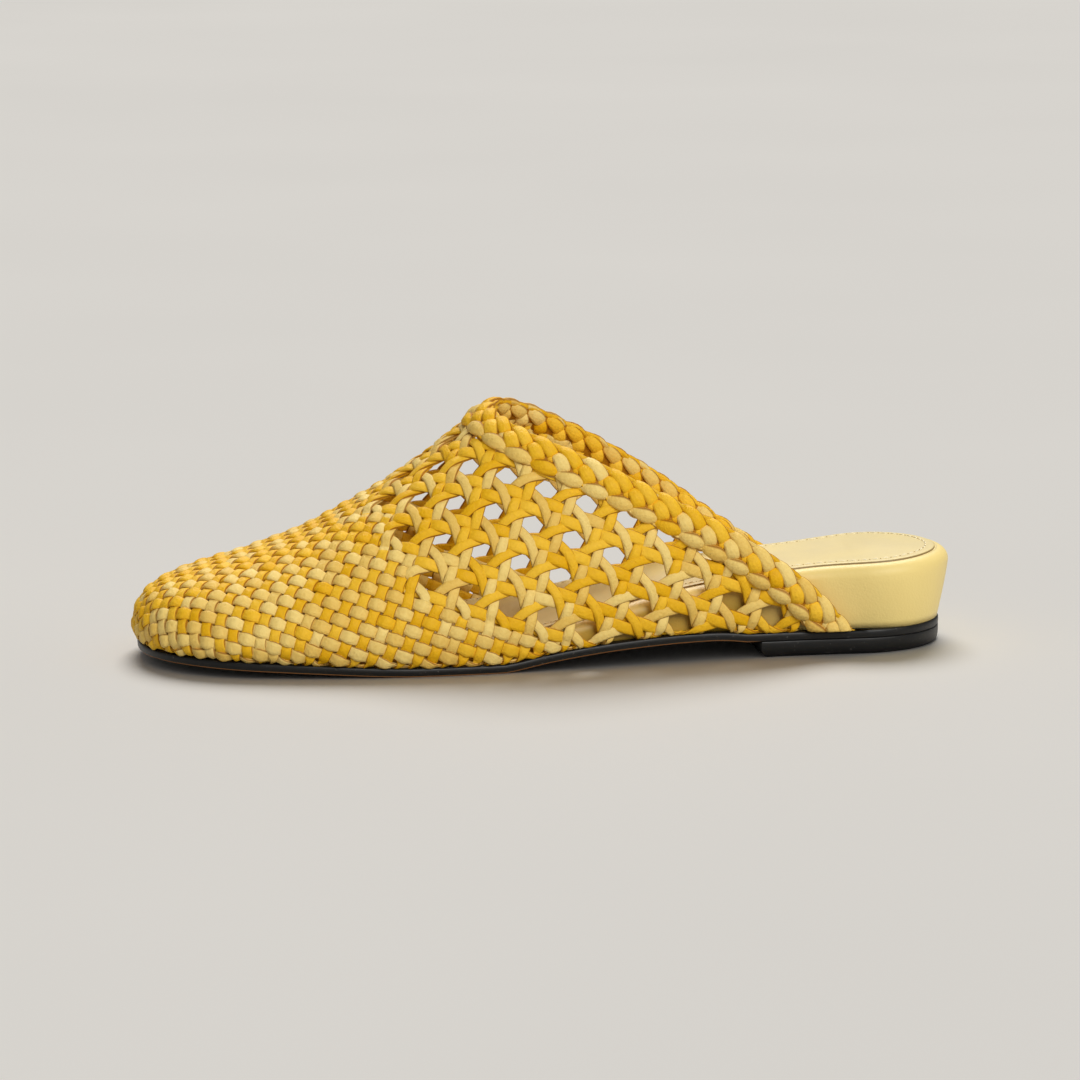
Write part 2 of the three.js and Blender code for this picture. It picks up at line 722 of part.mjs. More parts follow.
// Collar: a flat oval band along the collar's middle line, with three rows of lobes for its strands.
// It ends on the outsole on both sides.
function collar() {
  const steps = 92;
  const around = 8;
  const points = [];
  const faces = [];
  let travelled = 0;
  let before = null;
  for (let i = 0; i <= steps; i += 1) {
    const q = -COLLAR_END + (2 * COLLAR_END * i) / steps;
    const { frame, across, point } = collarFrame(q);
    if (before) travelled += point.distanceTo(before);
    before = point;
    for (let k = 0; k < around; k += 1) {
      const angle = (2 * Math.PI * k) / around;
      const lag = Math.cos(angle) * 0.75;
      const swell = Math.abs(Math.sin(Math.PI * (travelled / BRAID_PITCH + lag)));
      const shrink = LOBE_HEIGHT * (1 - swell);
      const wide = (BRAID_WIDTH / 2 - 0.7 * shrink) * Math.cos(angle);
      const thick = (BRAID_THICKNESS / 2 - shrink) * Math.sin(angle) + BRAID_OUTSET;
      const place = point.clone().addScaledVector(across, wide).addScaledVector(frame.normal, thick);
      points.push(place.toArray());
    }
  }
  for (let i = 0; i < steps; i += 1) {
    for (let k = 0; k < around; k += 1) {
      const next = (k + 1) % around;
      const a = i * around + k;
      const b = i * around + next;
      faces.push([a, b, b + around], [a, b + around, a + around]);
    }
  }
  for (let k = 1; k + 1 < around; k += 1) {
    faces.push([0, k + 1, k]);
    const end = steps * around;
    faces.push([end, end + k, end + k + 1]);
  }
  const band = solidOf(bareGeometry({ points, faces }));
  return listOf(band.subtract(solidOf(bareGeometry(groundCutter()))));
}

function piece(name, shape, colour, roughness) {
  const material = new THREE.MeshStandardMaterial({ color: colour, roughness, metalness: 0 });
  const mesh = new THREE.Mesh(geometryOf(shape), material);
  mesh.name = name;
  return mesh;
}

const mule = new THREE.Group();
mule.add(piece("heel_lift", heelLift(), COLOURS.black, 0.55));
mule.add(piece("outsole", outsole(), COLOURS.black, 0.5));
mule.add(piece("footbed", footbed(), COLOURS.cream, 0.6));
mule.add(piece("insole", sock(), COLOURS.sock, 0.65));
mule.add(piece("upper", upper(), COLOURS.yellow, 0.5));
mule.add(piece("collar_braid", collar(), COLOURS.braid, 0.5));

export default mule;
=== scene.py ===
import math

import bpy
import numpy as np
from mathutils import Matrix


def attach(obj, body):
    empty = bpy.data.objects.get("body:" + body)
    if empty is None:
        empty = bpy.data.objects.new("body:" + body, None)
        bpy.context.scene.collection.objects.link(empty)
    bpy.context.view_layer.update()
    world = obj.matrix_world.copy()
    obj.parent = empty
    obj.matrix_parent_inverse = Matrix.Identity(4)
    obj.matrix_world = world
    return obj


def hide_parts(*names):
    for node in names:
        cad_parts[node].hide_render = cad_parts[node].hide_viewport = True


bl_info = {
    "name": "Woven mule",
    "version": (1, 0, 0),
    "blender": (4, 5, 0),
    "location": "View3D > Sidebar > Mule",
    "description": "Dresses a flat woven mule: webbed vamp, plaited collar, wrapped footbed, sole and heel",
    "category": "Object",
}

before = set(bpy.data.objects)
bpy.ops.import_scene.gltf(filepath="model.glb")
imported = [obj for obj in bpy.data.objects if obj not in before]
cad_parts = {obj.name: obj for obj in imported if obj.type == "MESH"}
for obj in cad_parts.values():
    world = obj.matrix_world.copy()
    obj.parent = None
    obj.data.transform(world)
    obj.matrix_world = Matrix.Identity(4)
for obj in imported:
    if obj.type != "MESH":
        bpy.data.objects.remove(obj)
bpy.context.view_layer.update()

MM = 0.001

# Sizes of the shoe in millimetres. A point is (s, y, z): s runs from the toe end of the sole to its
# heel end, the outer side is -y, and the world's X is s less HEEL_CENTRE.
LENGTH = 248.0
BALL_WIDTH = 82.0
TOE_ROUNDING = 36.0
TOE_POWER = 2.4
HEEL_ROUNDING = 29.0
HEEL_POWER = 2.05
HEEL_CENTRE = 218.0

# Sole and heel: BREAST is the front face of the heel block, and the flat seat begins a little before it
SOLE_THICKNESS = 2.6
HEEL_HEIGHT = 4.9
TOE_SPRING = 3.2
SHANK_RISE = 5.8
BREAST = 187.0
FLAT_SEAT = BREAST - 4
TREAD = (0.32 * LENGTH, 0.43 * LENGTH)

# Footbed: heights of its upper face, its edge against the sole's outline, and the sock's groove and
# stitches, whose insets are measured from the footbed's edge
HEEL_SEAT = 28.7
BALL_SEAT = 6.6
TOE_SEAT = 7.6
FOOTBED_INSET = 2.6
RIM_OVERHANG = 2.8
RIM_RADIUS = 3.6
GROOVE_INSET = 4.12
GROOVE_HALF = 0.3
STITCH_INSET = 7.0
STITCH_LENGTH = 2.2
STITCH_WIDTH = 0.62
HOLE_RADIUS = 0.22

# Vamp: heights over an axis that is tilted along the instep, and the fold where it meets the sole
GAP = 0.3
INSTEP_HEIGHT = 18.9
BALL_HEIGHT = 11.9
TOE_RISE = 8.0
SIDE_BULGE = 1.6
TILT = math.radians(26)
TILT_COS = math.cos(TILT)
TILT_SIN = math.sin(TILT)
TOE_CENTRE = 47.0
SEAM_OUTSET = 0.2
TUCK = 1.1
THROAT = 125.5
COLLAR_REACH = 66.0

# Weave: a cell's size along the instep and round the foot, how much further back the inner side stays
# closed, how far the slanting strips bow, how deep the weave's middle lies, how far past the seam a
# strip ends and before the collar's middle line, and points along a strip for each cell
PITCH_ALONG = 8.85
PITCH_ROUND = 8.9
INNER_CLOSED = 9.0
BOW = 0.7
WEAVE_DEPTH = 0.75
STRIP_END = 2.4
COLLAR_OVERLAP = 1.0
SAMPLES = 18

# How far the two strips of a pair close up in the webbing, in cells
PAIR_CLOSING = {"down": 0.04, "rise": 0.066}

# Families of strips: seed of the random draws, width in the webbing as a share of the set width, and
# what the closed weave adds to the wave's height, as a share
FAMILIES = {"down": (1, 1.1, 0.1), "rise": (2, 0.95, -0.48), "round": (3, 0.91, 0), "along": (4, 0.93, 0)}

# Least height of a lobe's or the band's lower side over the sole
SOLE_CLEARANCE = 0.25

# Plait: half the width over which its two faces are rounded, the rounding's height, how far the band
# inside it lies outside the vamp's surface, and that band's half width and half thickness
PLAIT_HALF = 5.6
PLAIT_ROUNDING = 1.3
CORE_OFFSET = 0.3
CORE_HALF = (4.3, 1.25)


def through(rows, place):
    """Smooth curve through the rows of a table: a cubic between two rows whose slopes at the rows are
    the mean of the slopes on both sides, weighted by their spans. place may be an array."""
    rows = np.asarray(rows, float)
    xs, ys = rows[:, 0], rows[:, 1]
    x = np.clip(np.asarray(place, float), xs[0], xs[-1])
    spans = np.diff(xs)
    slopes = np.diff(ys) / spans
    tangents = np.empty(len(xs))
    tangents[0] = slopes[0]
    tangents[-1] = slopes[-1]
    tangents[1:-1] = (slopes[1:] * spans[:-1] + slopes[:-1] * spans[1:]) / (spans[:-1] + spans[1:])
    i = np.clip(np.searchsorted(xs, x, side="right") - 1, 0, len(xs) - 2)
    span = spans[i]
    t = (x - xs[i]) / span
    near = (1 + 2 * t) * (1 - t) ** 2 * ys[i] + t * (1 - t) ** 2 * span * tangents[i]
    far = t * t * (3 - 2 * t) * ys[i + 1] - t * t * (1 - t) * span * tangents[i + 1]
    return near + far


def ease(low, high, value):
    """Smooth step from 0 at low to 1 at high."""
    t = np.clip((value - low) / (high - low), 0, 1)
    return t * t * (3 - 2 * t)


def unit(vectors):
    """Vectors divided by their lengths."""
    return vectors / np.maximum(np.linalg.norm(vectors, axis=-1, keepdims=True), 1e-12)


# Half widths of the sole as shares of the ball width, a row for each tenth of its length
OUTER_HALF = (0.38, 0.44, 0.495, 0.52, 0.51, 0.47, 0.42, 0.375, 0.35, 0.345, 0.34)
INNER_HALF = (0.4, 0.455, 0.485, 0.49, 0.455, 0.4, 0.355, 0.335, 0.335, 0.34, 0.34)
HALF_ROWS = {
    sign: [(LENGTH * i / 10, share * BALL_WIDTH) for i, share in enumerate(shares)]
    for sign, shares in ((-1, OUTER_HALF), (1, INNER_HALF))
}

UNDERSIDE = (
    (0, TOE_SPRING),
    (0.048 * LENGTH, 0.9 * TOE_SPRING),
    (0.12 * LENGTH, 0.68 * TOE_SPRING),
    (0.218 * LENGTH, 0.34 * TOE_SPRING),
    (0.28 * LENGTH, 0.09 * TOE_SPRING),
    (TREAD[0], 0),
    (TREAD[1], 0),
    (0.488 * LENGTH, 0.41 * SHANK_RISE),
    (0.548 * LENGTH, 0.72 * SHANK_RISE),
    (0.605 * LENGTH, 0.9 * SHANK_RISE),
    (0.665 * LENGTH, SHANK_RISE),
    (0.71 * LENGTH, 0.98 * SHANK_RISE),
    (FLAT_SEAT, HEEL_HEIGHT),
)

# Height of the footbed's upper face. Behind the ball: place as a share of the length, then the share of
# the way up from the ball's height to the heel's
HEEL_SLOPE = ((0.42, 0.1), (0.52, 0.31), (0.62, 0.58), (0.72, 0.76), (0.82, 0.88), (0.92, 0.96), (1, 1))
SEAT = (
    (0, TOE_SEAT),
    (0.12 * LENGTH, TOE_SEAT + 0.2 * (BALL_SEAT - TOE_SEAT)),
    (0.24 * LENGTH, BALL_SEAT),
    (0.34 * LENGTH, BALL_SEAT),
    *((at * LENGTH, BALL_SEAT + share * (HEEL_SEAT - BALL_SEAT)) for at, share in HEEL_SLOPE),
    (LENGTH + 20, HEEL_SEAT),
)

# Height of the instep line above the tilted axis: place, then the share of the way from the ball's height
# to the instep's
INSTEP_SLOPE = (
    (TOE_CENTRE, 0.22),
    (0.5 * THROAT, 0),
    (0.61 * THROAT, 0.06),
    (0.722 * THROAT, 0.2),
    (0.84 * THROAT, 0.5),
    (0.956 * THROAT, 0.92),
    (1.03 * THROAT, 1),
    (1.2 * THROAT, 1),
    (2 * THROAT, 1),
)
INSTEP = [(at, BALL_HEIGHT + share * (INSTEP_HEIGHT - BALL_HEIGHT)) for at, share in INSTEP_SLOPE]

# Collar's middle line: girth round the foot, then the way behind the throat as a share of COLLAR_REACH
COLLAR = (
    (-132, 1.068), (-117, 1), (-102, 0.932), (-91, 0.841), (-77, 0.724), (-63, 0.611), (-50, 0.489),
    (-37, 0.36), (-25, 0.227), (-12, 0.083), (0, 0), (12, 0.005), (23, 0.072), (34, 0.2), (45, 0.344),
    (57, 0.495), (70, 0.647), (86, 0.806), (102, 0.932), (117, 1), (132, 1.068),
)

# Where the closed weave gives way to the webbing: girth round the foot, then a share of THROAT
OPEN_FROM = (
    (0, 0.725), (20, 0.641), (31, 0.621), (50, 0.665), (62, 0.697), (77, 0.8), (89, 0.88), (120, 1.2),
)


def half_width(s, sign):
    """Half width of the sole on one side: the table's curve, rounded off at the toe and at the heel by
    superellipse quarters."""
    toe = np.clip(s / TOE_ROUNDING, 0, 1)
    heel = np.clip((LENGTH - s) / HEEL_ROUNDING, 0, 1)
    toe_share = (1 - (1 - toe) ** TOE_POWER) ** (1 / TOE_POWER)
    heel_share = (1 - (1 - heel) ** HEEL_POWER) ** (1 / HEEL_POWER)
    return through(HALF_ROWS[sign], s) * toe_share * heel_share


def underside(s):
    """Height of the sole's lower face: flat on the tread and on the heel seat."""
    s = np.asarray(s, float)
    height = np.maximum(through(UNDERSIDE, s), 0)
    height = np.where((s > TREAD[0]) & (s < TREAD[1]), 0, height)
    return np.where(s >= FLAT_SEAT, HEEL_HEIGHT, height)


def sole_top(s):
    """Height of the sole's upper face."""
    return underside(s) + SOLE_THICKNESS


def seat_top(s):
    """Height of the footbed's upper face."""
    return through(SEAT, s)


def seam_table(sign):
    """The seam between vamp and sole for one side, as lists of place along and height above the tilted
    axis and half width, and for the toe the same by bearing from the toe centre."""
    turn = np.linspace(0, math.pi / 2, 400)
    s = 0.985 * LENGTH * (1 - np.cos(turn))
    step = 0.02
    ds = np.where(s == 0, 0, 2 * step)
    dy = half_width(s + step, sign) - half_width(np.maximum(s - step, 0), sign)
    size = np.hypot(ds, dy)
    at = s - SEAM_OUTSET * dy / size
    y = np.where(s == 0, 0, half_width(s, sign) + SEAM_OUTSET * ds / size)
    z = sole_top(np.maximum(at, 0)) + GAP
    p = at * TILT_COS + z * TILT_SIN
    h = -at * TILT_SIN + z * TILT_COS
    toe = p <= TOE_CENTRE
    bearing = np.append(np.arctan2(y[toe], TOE_CENTRE - p[toe]), math.pi / 2)
    reach = np.append(np.hypot(y[toe], TOE_CENTRE - p[toe]), np.interp(TOE_CENTRE, p, y))
    fall = np.append(h[toe], np.interp(TOE_CENTRE, p, h))
    return p, y, h, bearing, reach, fall


SEAMS = {sign: seam_table(sign) for sign in (-1, 1)}


def vamp_surface(p, q):
    """Points of the vamp's surface, and how far each lies past the seam.
    A section starts at the instep line, or round the toe at the toe centre, and runs down to the seam as
    a quarter of a superellipse with a small bulge over the seam, and then straight on down. The girth q
    is measured along it, and is positive on the outer side."""
    shape = p.shape
    p, q = p.ravel(), q.ravel()
    points = np.empty((len(p), 3))
    past = np.empty(len(p))
    angle = np.linspace(0, math.pi / 2, 49)[None, :]
    for sign in (-1, 1):
        chosen = q >= 0 if sign < 0 else q < 0
        seam_p, seam_y, seam_h, seam_bearing, seam_reach, seam_fall = SEAMS[sign]
        pp, qq = p[chosen], np.abs(q[chosen])
        toe = pp < TOE_CENTRE
        bearing = np.where(toe, np.arctan2(qq, TOE_CENTRE - pp), math.pi / 2)
        arc = np.where(toe, np.hypot(qq, TOE_CENTRE - pp), qq)
        reach = np.where(toe, np.interp(bearing, seam_bearing, seam_reach), np.interp(pp, seam_p, seam_y))
        low = np.where(toe, np.interp(bearing, seam_bearing, seam_fall), np.interp(pp, seam_p, seam_h))
        high = through(INSTEP, np.maximum(pp, TOE_CENTRE))
        frontal = np.where(toe, np.cos(bearing) ** 2, 0)[:, None]
        out = np.sin(angle) ** (2 / (2.4 + 1.6 * frontal))
        up = np.maximum(np.cos(angle), 0) ** (2 / (2.3 + 0.2 * frontal))
        up[:, -1] = 0
        # The curve up * (1 - up)**2 is highest at a third, where it is 1 / 6.75
        bulge = SIDE_BULGE * (1 - 0.9 * frontal) * 6.75 * up * (1 - up) ** 2
        away = reach[:, None] * out + bulge
        rise = TOE_RISE * frontal * out * (1 - out ** 6)
        height = low[:, None] + (high - low)[:, None] * up + rise
        away = np.concatenate([away, reach[:, None]], 1)
        height = np.concatenate([height, low[:, None] - 30], 1)
        steps = np.hypot(np.diff(away, axis=1), np.diff(height, axis=1))
        along = np.concatenate([np.zeros((len(pp), 1)), np.cumsum(steps, 1)], 1)
        i = np.clip((along <= arc[:, None]).sum(1) - 1, 0, along.shape[1] - 2)
        row = np.arange(len(pp))
        share = (arc - along[row, i]) / np.maximum(along[row, i + 1] - along[row, i], 1e-9)
        a = away[row, i] + share * (away[row, i + 1] - away[row, i])
        h = height[row, i] + share * (height[row, i + 1] - height[row, i])
        forward = np.where(toe, TOE_CENTRE - a * np.cos(bearing), pp)
        points[chosen, 0] = forward * TILT_COS - h * TILT_SIN
        points[chosen, 1] = sign * np.where(toe, a * np.sin(bearing), a)
        points[chosen, 2] = forward * TILT_SIN + h * TILT_COS
        past[chosen] = arc - along[:, -2]
    return points.reshape(shape + (3,)), past.reshape(shape)


# The girth map: the vamp's points, outward normals and distances past the seam, a row for each
# millimetre along the instep and a column for each millimetre round the foot
GRID_P = np.arange(-24.0, 236.0, 1.0)
GRID_Q = np.arange(-150.0, 150.5, 1.0)
GRID_POINTS, GRID_PAST = vamp_surface(*np.meshgrid(GRID_P, GRID_Q, indexing="ij"))
GRID_NORMALS = unit(np.cross(np.gradient(GRID_POINTS, axis=1), np.gradient(GRID_POINTS, axis=0)))


def read_grid(table, p, q):
    """Value of a table over the girth map at p and q, by straight interpolation between four of its
    rows and columns."""
    x = np.clip(p - GRID_P[0], 0, len(GRID_P) - 1.001)
    y = np.clip(q - GRID_Q[0], 0, len(GRID_Q) - 1.001)
    i, j = x.astype(int), y.astype(int)
    u, v = x - i, y - j
    if table.ndim == 3:
        u, v = u[..., None], v[..., None]
    near = table[i, j] * (1 - v) + table[i, j + 1] * v
    far = table[i + 1, j] * (1 - v) + table[i + 1, j + 1] * v
    return near * (1 - u) + far * u


def laid(p, q):
    """Points and outward normals of the vamp at p and q. Past the seam the sheet turns in under the
    foot round a small radius and then runs level, so that a strip tucks in between sole and footbed."""
    points = read_grid(GRID_POINTS, p, q)
    normals = unit(read_grid(GRID_NORMALS, p, q))
    past = read_grid(GRID_PAST, p, q) + TUCK
    bearing = np.where(p < TOE_CENTRE, np.arctan2(q, TOE_CENTRE - p), np.sign(q) * math.pi / 2)
    up = np.array([-TILT_SIN, 0, TILT_COS])
    level = np.array([TILT_COS, 0, TILT_SIN])
    inward = np.cos(bearing)[..., None] * level + np.sin(bearing)[..., None] * np.array([0, 1, 0])
    turn = np.clip(past / TUCK, 0, math.pi / 2)[..., None]
    rest = np.maximum(past - TUCK * math.pi / 2, 0)[..., None]
    back = np.maximum(past, 0)[..., None]
    points = points + up * (back - TUCK * np.sin(turn)) + inward * (TUCK * (1 - np.cos(turn)) + rest)
    normals = unit(np.cos(turn) * normals - np.sin(turn) * up)
    return points, normals, past - TUCK


def kept_points(points, groups):
    """The points that a face uses, and the groups with their faces numbered anew."""
    used = np.zeros(len(points), bool)
    for group in groups:
        used[group["faces"].ravel()] = True
    number = np.cumsum(used) - 1
    return points[used], [{**group, "faces": number[group["faces"]]} for group in groups]


def add_mesh(name, points, groups):
    """A mesh object from points in millimetres in (s, y, z) and a list of face groups. A group holds the
    vertex numbers of faces with the same number of corners. It may hold a uv for each corner, and a tone
    and a tint for each face."""
    points, groups = kept_points(points.reshape(-1, 3), groups)
    mesh = bpy.data.meshes.new(name)
    loops = np.concatenate([group["faces"].ravel() for group in groups]).astype(np.int32)
    sides = np.concatenate([np.full(*group["faces"].shape) for group in groups])
    starts = np.concatenate([[0], np.cumsum(sides)[:-1]]).astype(np.int32)
    place = (points - np.array([HEEL_CENTRE, 0, 0])) * MM
    mesh.vertices.add(len(place))
    mesh.vertices.foreach_set("co", place.astype(np.float32).ravel())
    mesh.loops.add(len(loops))
    mesh.loops.foreach_set("vertex_index", loops)
    mesh.polygons.add(len(sides))
    mesh.polygons.foreach_set("loop_start", starts)
    mesh.polygons.foreach_set("use_smooth", np.ones(len(sides), bool))
    if "uv" in groups[0]:
        layer = mesh.uv_layers.new(name="strip")
        corners = np.concatenate([group["uv"].reshape(-1, 2) for group in groups])
        layer.uv.foreach_set("vector", corners.astype(np.float32).ravel())
    for key in ("tone", "tint"):
        if key in groups[0]:
            values = np.concatenate([group[key] for group in groups]).astype(np.float32)
            mesh.attributes.new(key, "FLOAT", "FACE").data.foreach_set("value", values)
    mesh.update(calc_edges=True)
    mesh.validate()
    piece = bpy.data.objects.new(name, mesh)
    bpy.context.scene.collection.objects.link(piece)
    return piece


def tube_groups(shape, present, travelled, tone, tint):
    """Faces of many closed tubes. shape is (tubes, samples, points round). A side face joins two
    neighbouring samples that are both present, and a flat face closes each end of a run."""
    tubes, samples, around = shape
    index = np.arange(tubes * samples * around).reshape(shape)
    joined = present[:, :-1] & present[:, 1:]
    line, at = np.nonzero(joined)
    k = np.arange(around)
    nxt = (k + 1) % around
    a = index[line, at][:, k]
    b = index[line, at + 1][:, k]
    c = index[line, at + 1][:, nxt]
    d = index[line, at][:, nxt]
    sides = np.stack([a, d, c, b], 2).reshape(-1, 4)
    across = k / around
    u0 = np.repeat(travelled[line, at][:, None], around, 1)
    u1 = np.repeat(travelled[line, at + 1][:, None], around, 1)
    v0 = np.broadcast_to(across, u0.shape)
    v1 = v0 + 1 / around
    uv = np.stack([u0, v0, u0, v1, u1, v1, u1, v0], 2).reshape(-1, 4, 2)
    groups = [{
        "faces": sides,
        "uv": uv,
        "tone": np.repeat(tone[line, at], around),
        "tint": np.repeat(tint[line, at], around),
    }]
    before = np.pad(joined, ((0, 0), (1, 0)))
    after = np.pad(joined, ((0, 0), (0, 1)))
    for ends, order in ((after & ~before, k[::-1]), (before & ~after, k)):
        line, at = np.nonzero(ends)
        caps = index[line, at][:, order]
        place = np.repeat(travelled[line, at][:, None], around, 1)
        groups.append({
            "faces": caps,
            "uv": np.stack([place, np.broadcast_to(across[order], place.shape)], 2),
            "tone": tone[line, at],
            "tint": tint[line, at],
        })
    return groups


def sweep(points, normals, width, thickness, around, square):
    """Carries a flat rounded section along many paths. The section is a superellipse: its half width and
    half thickness times powers of the cosine and sine of the turn, of which square is the cosine's power.
    Its flat side follows the path's own slope."""
    tangent = unit(np.gradient(points, axis=1))
    side = unit(np.cross(normals, tangent))
    upward = np.cross(tangent, side)
    turn = 2 * math.pi * (np.arange(around) + 0.5) / around
    x = np.sign(np.cos(turn)) * np.abs(np.cos(turn)) ** square
    z = np.sign(np.sin(turn)) * np.abs(np.sin(turn)) ** 0.8
    across = side[:, :, None, :] * (0.5 * width[..., None] * x)[..., None]
    over = upward[:, :, None, :] * (0.5 * thickness[..., None] * z)[..., None]
    steps = np.linalg.norm(np.diff(points, axis=1), axis=2)
    travelled = np.concatenate([np.zeros((len(points), 1)), np.cumsum(steps, 1)], 1)
    return points[:, :, None, :] + across + over, travelled


def chance(first, second, seed):
    """A repeatable number from 0 to 1 for each pair of whole numbers: the fraction of a large sine."""
    value = np.sin(first * 12.9898 + second * 78.233 + seed * 37.719) * 43758.5453
    return value - np.floor(value)


def two_tone(dice, cream, tint):
    """Tone of a segment: near 1 for cream where the dice falls under the share of cream, and near 0 for
    yellow, each a little mixed by the tint."""
    return np.where(dice < cream, 0.7 + 0.3 * tint, 0.14 * tint)


def site_open(a, b):
    """1 where the lattice site nearest to (a, b) is a hole of the webbing, and 0 in the closed weave."""
    i, j = np.round(a), np.round(b)
    p = PITCH_ALONG * (i - j)
    q = PITCH_ROUND * (i + j - 0.5)
    later = INNER_CLOSED * ease(24, 38, -q)
    return (p - 1 > THROAT * through(OPEN_FROM, np.abs(q)) + later).astype(float)


def to_girth(a, b):
    """Place along the instep and girth round the foot from the weave's own axes. On the inner side the
    lattice slides back a little, more the further down, so that its holes face those of the outer side."""
    p, q = PITCH_ALONG * (a - b), PITCH_ROUND * (a + b - 0.5)
    slide = ease(6, 28, -q)
    along = 0.12 * slide
    round_foot = -(0.08 + 0.0055 * np.maximum(-q - 28, 0)) * slide
    return p + PITCH_ALONG * (along - round_foot), q + PITCH_ROUND * (along + round_foot)


def soften(values, reach):
    """Mean of the values over a window along the second axis."""
    kernel = np.ones(2 * reach + 1) / (2 * reach + 1)
    padded = np.pad(values, ((0, 0), (reach, reach)), mode="edge")
    return np.apply_along_axis(np.convolve, 1, padded, kernel, "valid")


def collar_p(q):
    """Place of the collar's middle line along the instep."""
    return THROAT + COLLAR_REACH * through(COLLAR, q)


def crossing_strips(kind):
    """Layout of one of the two main families, whose strips run along the weave's axes at thirds of a
    cell. In the webbing every third strip ends and the two between close up to a pair. A strip's height is
    a cosine: half a turn for each crossing in the closed weave, and one turn for each cell in the webbing."""
    downward = kind == "down"
    lines = np.arange(-20 * 3, 22 * 3 + 1)
    run = np.arange(-20 * SAMPLES, 22 * SAMPLES + 1) / SAMPLES
    fixed, moving = np.meshgrid(lines / 3, run, indexing="ij")
    which = np.mod(lines, 3)[:, None]
    webbed = site_open(moving, fixed) if downward else site_open(fixed, moving)
    soft = soften(webbed, 3)
    fixed = fixed + PAIR_CLOSING[kind] * soft * np.where(which == 1, 1, np.where(which == 2, -1, 0))
    crossing = 3 * moving + lines[:, None] + (0 if downward else 1)
    peak = np.where((which == 1) == downward, 0.25, 0.75)
    closed_wave = np.cos(math.pi * crossing)
    open_wave = np.cos(2 * math.pi * (moving - peak))
    return {
        "axes": (moving, fixed) if downward else (fixed, moving),
        "wave": closed_wave * (1 - soft) + open_wave * soft,
        "soft": soft,
        "present": (which != 0) | (webbed < 0.5),
        "sink": np.where(which == 0, ease(0.0, 0.5, soft), 0),
        "segment": np.where(soft > 0.5, np.round(moving - peak) * 7 + 3, np.round(crossing / 2)),
        "which": which,
    }


def slanting_strips(kind):
    """Layout of one of the webbing's own families, with a strip for each cell, along the instep or round
    the foot. A strip's height is a cosine of one turn for each cell."""
    lines = np.arange(-22, 23) + 0.5
    run = np.arange(-24 * SAMPLES, 26 * SAMPLES + 1) / SAMPLES
    fixed, moving = np.meshgrid(lines, run, indexing="ij")
    peak = 0.5 if kind == "round" else 0.0
    axes = (moving + fixed, moving) if kind == "round" else (fixed - moving, moving)
    soft = soften(site_open(*axes), 2)
    return {
        "axes": axes,
        "wave": np.cos(2 * math.pi * (moving - peak)),
        "soft": soft,
        "present": soft > 0.01,
        "sink": 1 - ease(0.0, 0.75, soft),
        "segment": np.round(moving - peak),
        "which": 0,
    }


def cream_share(kind, p, q, webbed, which):
    """Share of cream segments in a family: the toe's downward strips are mostly cream on the sides and
    more yellow along the ridge and at the tip, and its rising strips are mostly yellow."""
    if kind == "down":
        side = ease(10, 30, np.abs(q)) * ease(-2, 22, p)
        closed = 0.4 + 0.52 * side
        return closed * (1 - webbed) + 0.08 * webbed
    if kind == "rise":
        return 0.16 * (1 - webbed) + np.where(which == 2, 0.75, 0.6) * webbed
    return 0.6 if kind == "round" else 0.2


def weave_family(kind, sizes):
    """Points and faces of one family of strips. Its layout is bowed, laid on the vamp's surface, raised by
    its wave and swept with a flat section, which narrows where the strip turns in under the foot."""
    layout = crossing_strips(kind) if kind in PAIR_CLOSING else slanting_strips(kind)
    wave, soft, segment = layout["wave"], layout["soft"], layout["segment"]
    p, q = to_girth(*layout["axes"])
    if kind == "round":
        p = p + BOW * wave * soft
    elif kind == "along":
        q = q - BOW * wave * soft * np.tanh(q / 8)
    points, normals, past = laid(p, q)
    on_map = (p > GRID_P[0] + 1) & (np.abs(q) < GRID_Q[-1] - 2)
    present = layout["present"] & on_map & (past < STRIP_END) & (p < collar_p(q) - COLLAR_OVERLAP)
    seed, open_share, closed_swing = FAMILIES[kind]
    swell = 1.07 - 0.17 * (1 - wave ** 2) if kind == "down" else 0.83 + 0.1 * (1 - wave)
    open_width = sizes.open_width * open_share * (1 - 0.09 * (1 - wave))
    folded = ease(-2.6, -0.2, past)
    width = (sizes.closed_width * swell * (1 - soft) + open_width * soft) * (1 - 0.5 * folded)
    thick = sizes.strip_thickness * (1 + 0.15 * wave) * (1 - 0.25 * folded)
    swing = sizes.wave_height * (1 + (1 - soft) * closed_swing)
    height = wave * swing - WEAVE_DEPTH - 0.9 * layout["sink"]
    tucked = ease(-TUCK, 1.0, past)
    height = height * (1 - tucked) - 0.2 * tucked
    points = points + normals * height[..., None]
    solid, travelled = sweep(points, normals, width, thick, around=12, square=0.55)
    line = np.broadcast_to(np.arange(len(p))[:, None], p.shape)
    tint = chance(segment, line, seed + 5)
    tone = two_tone(chance(line, segment, seed), cream_share(kind, p, q, soft, layout["which"]), tint)
    return solid, tube_groups(solid.shape[:3], present, travelled, tone, tint)


def plait_frames():
    """Length along the collar's middle line, its points, and the directions across it and outwards."""
    q = np.arange(-134.0, 134.01, 1.0)
    p = collar_p(q)
    points = read_grid(GRID_POINTS, p, q)
    normals = unit(read_grid(GRID_NORMALS, p, q))
    normals = unit(soften(normals.T, 3).T)
    points = soften(points.T, 1).T
    forward = unit(np.gradient(points, axis=0))
    across = unit(np.cross(normals, forward))
    normals = np.cross(forward, across)
    steps = np.linalg.norm(np.diff(points, axis=0), axis=1)
    travelled = np.concatenate([[0], np.cumsum(steps)])
    travelled -= np.interp(0, q, travelled)
    return travelled, points, across, normals


PLAIT = plait_frames()


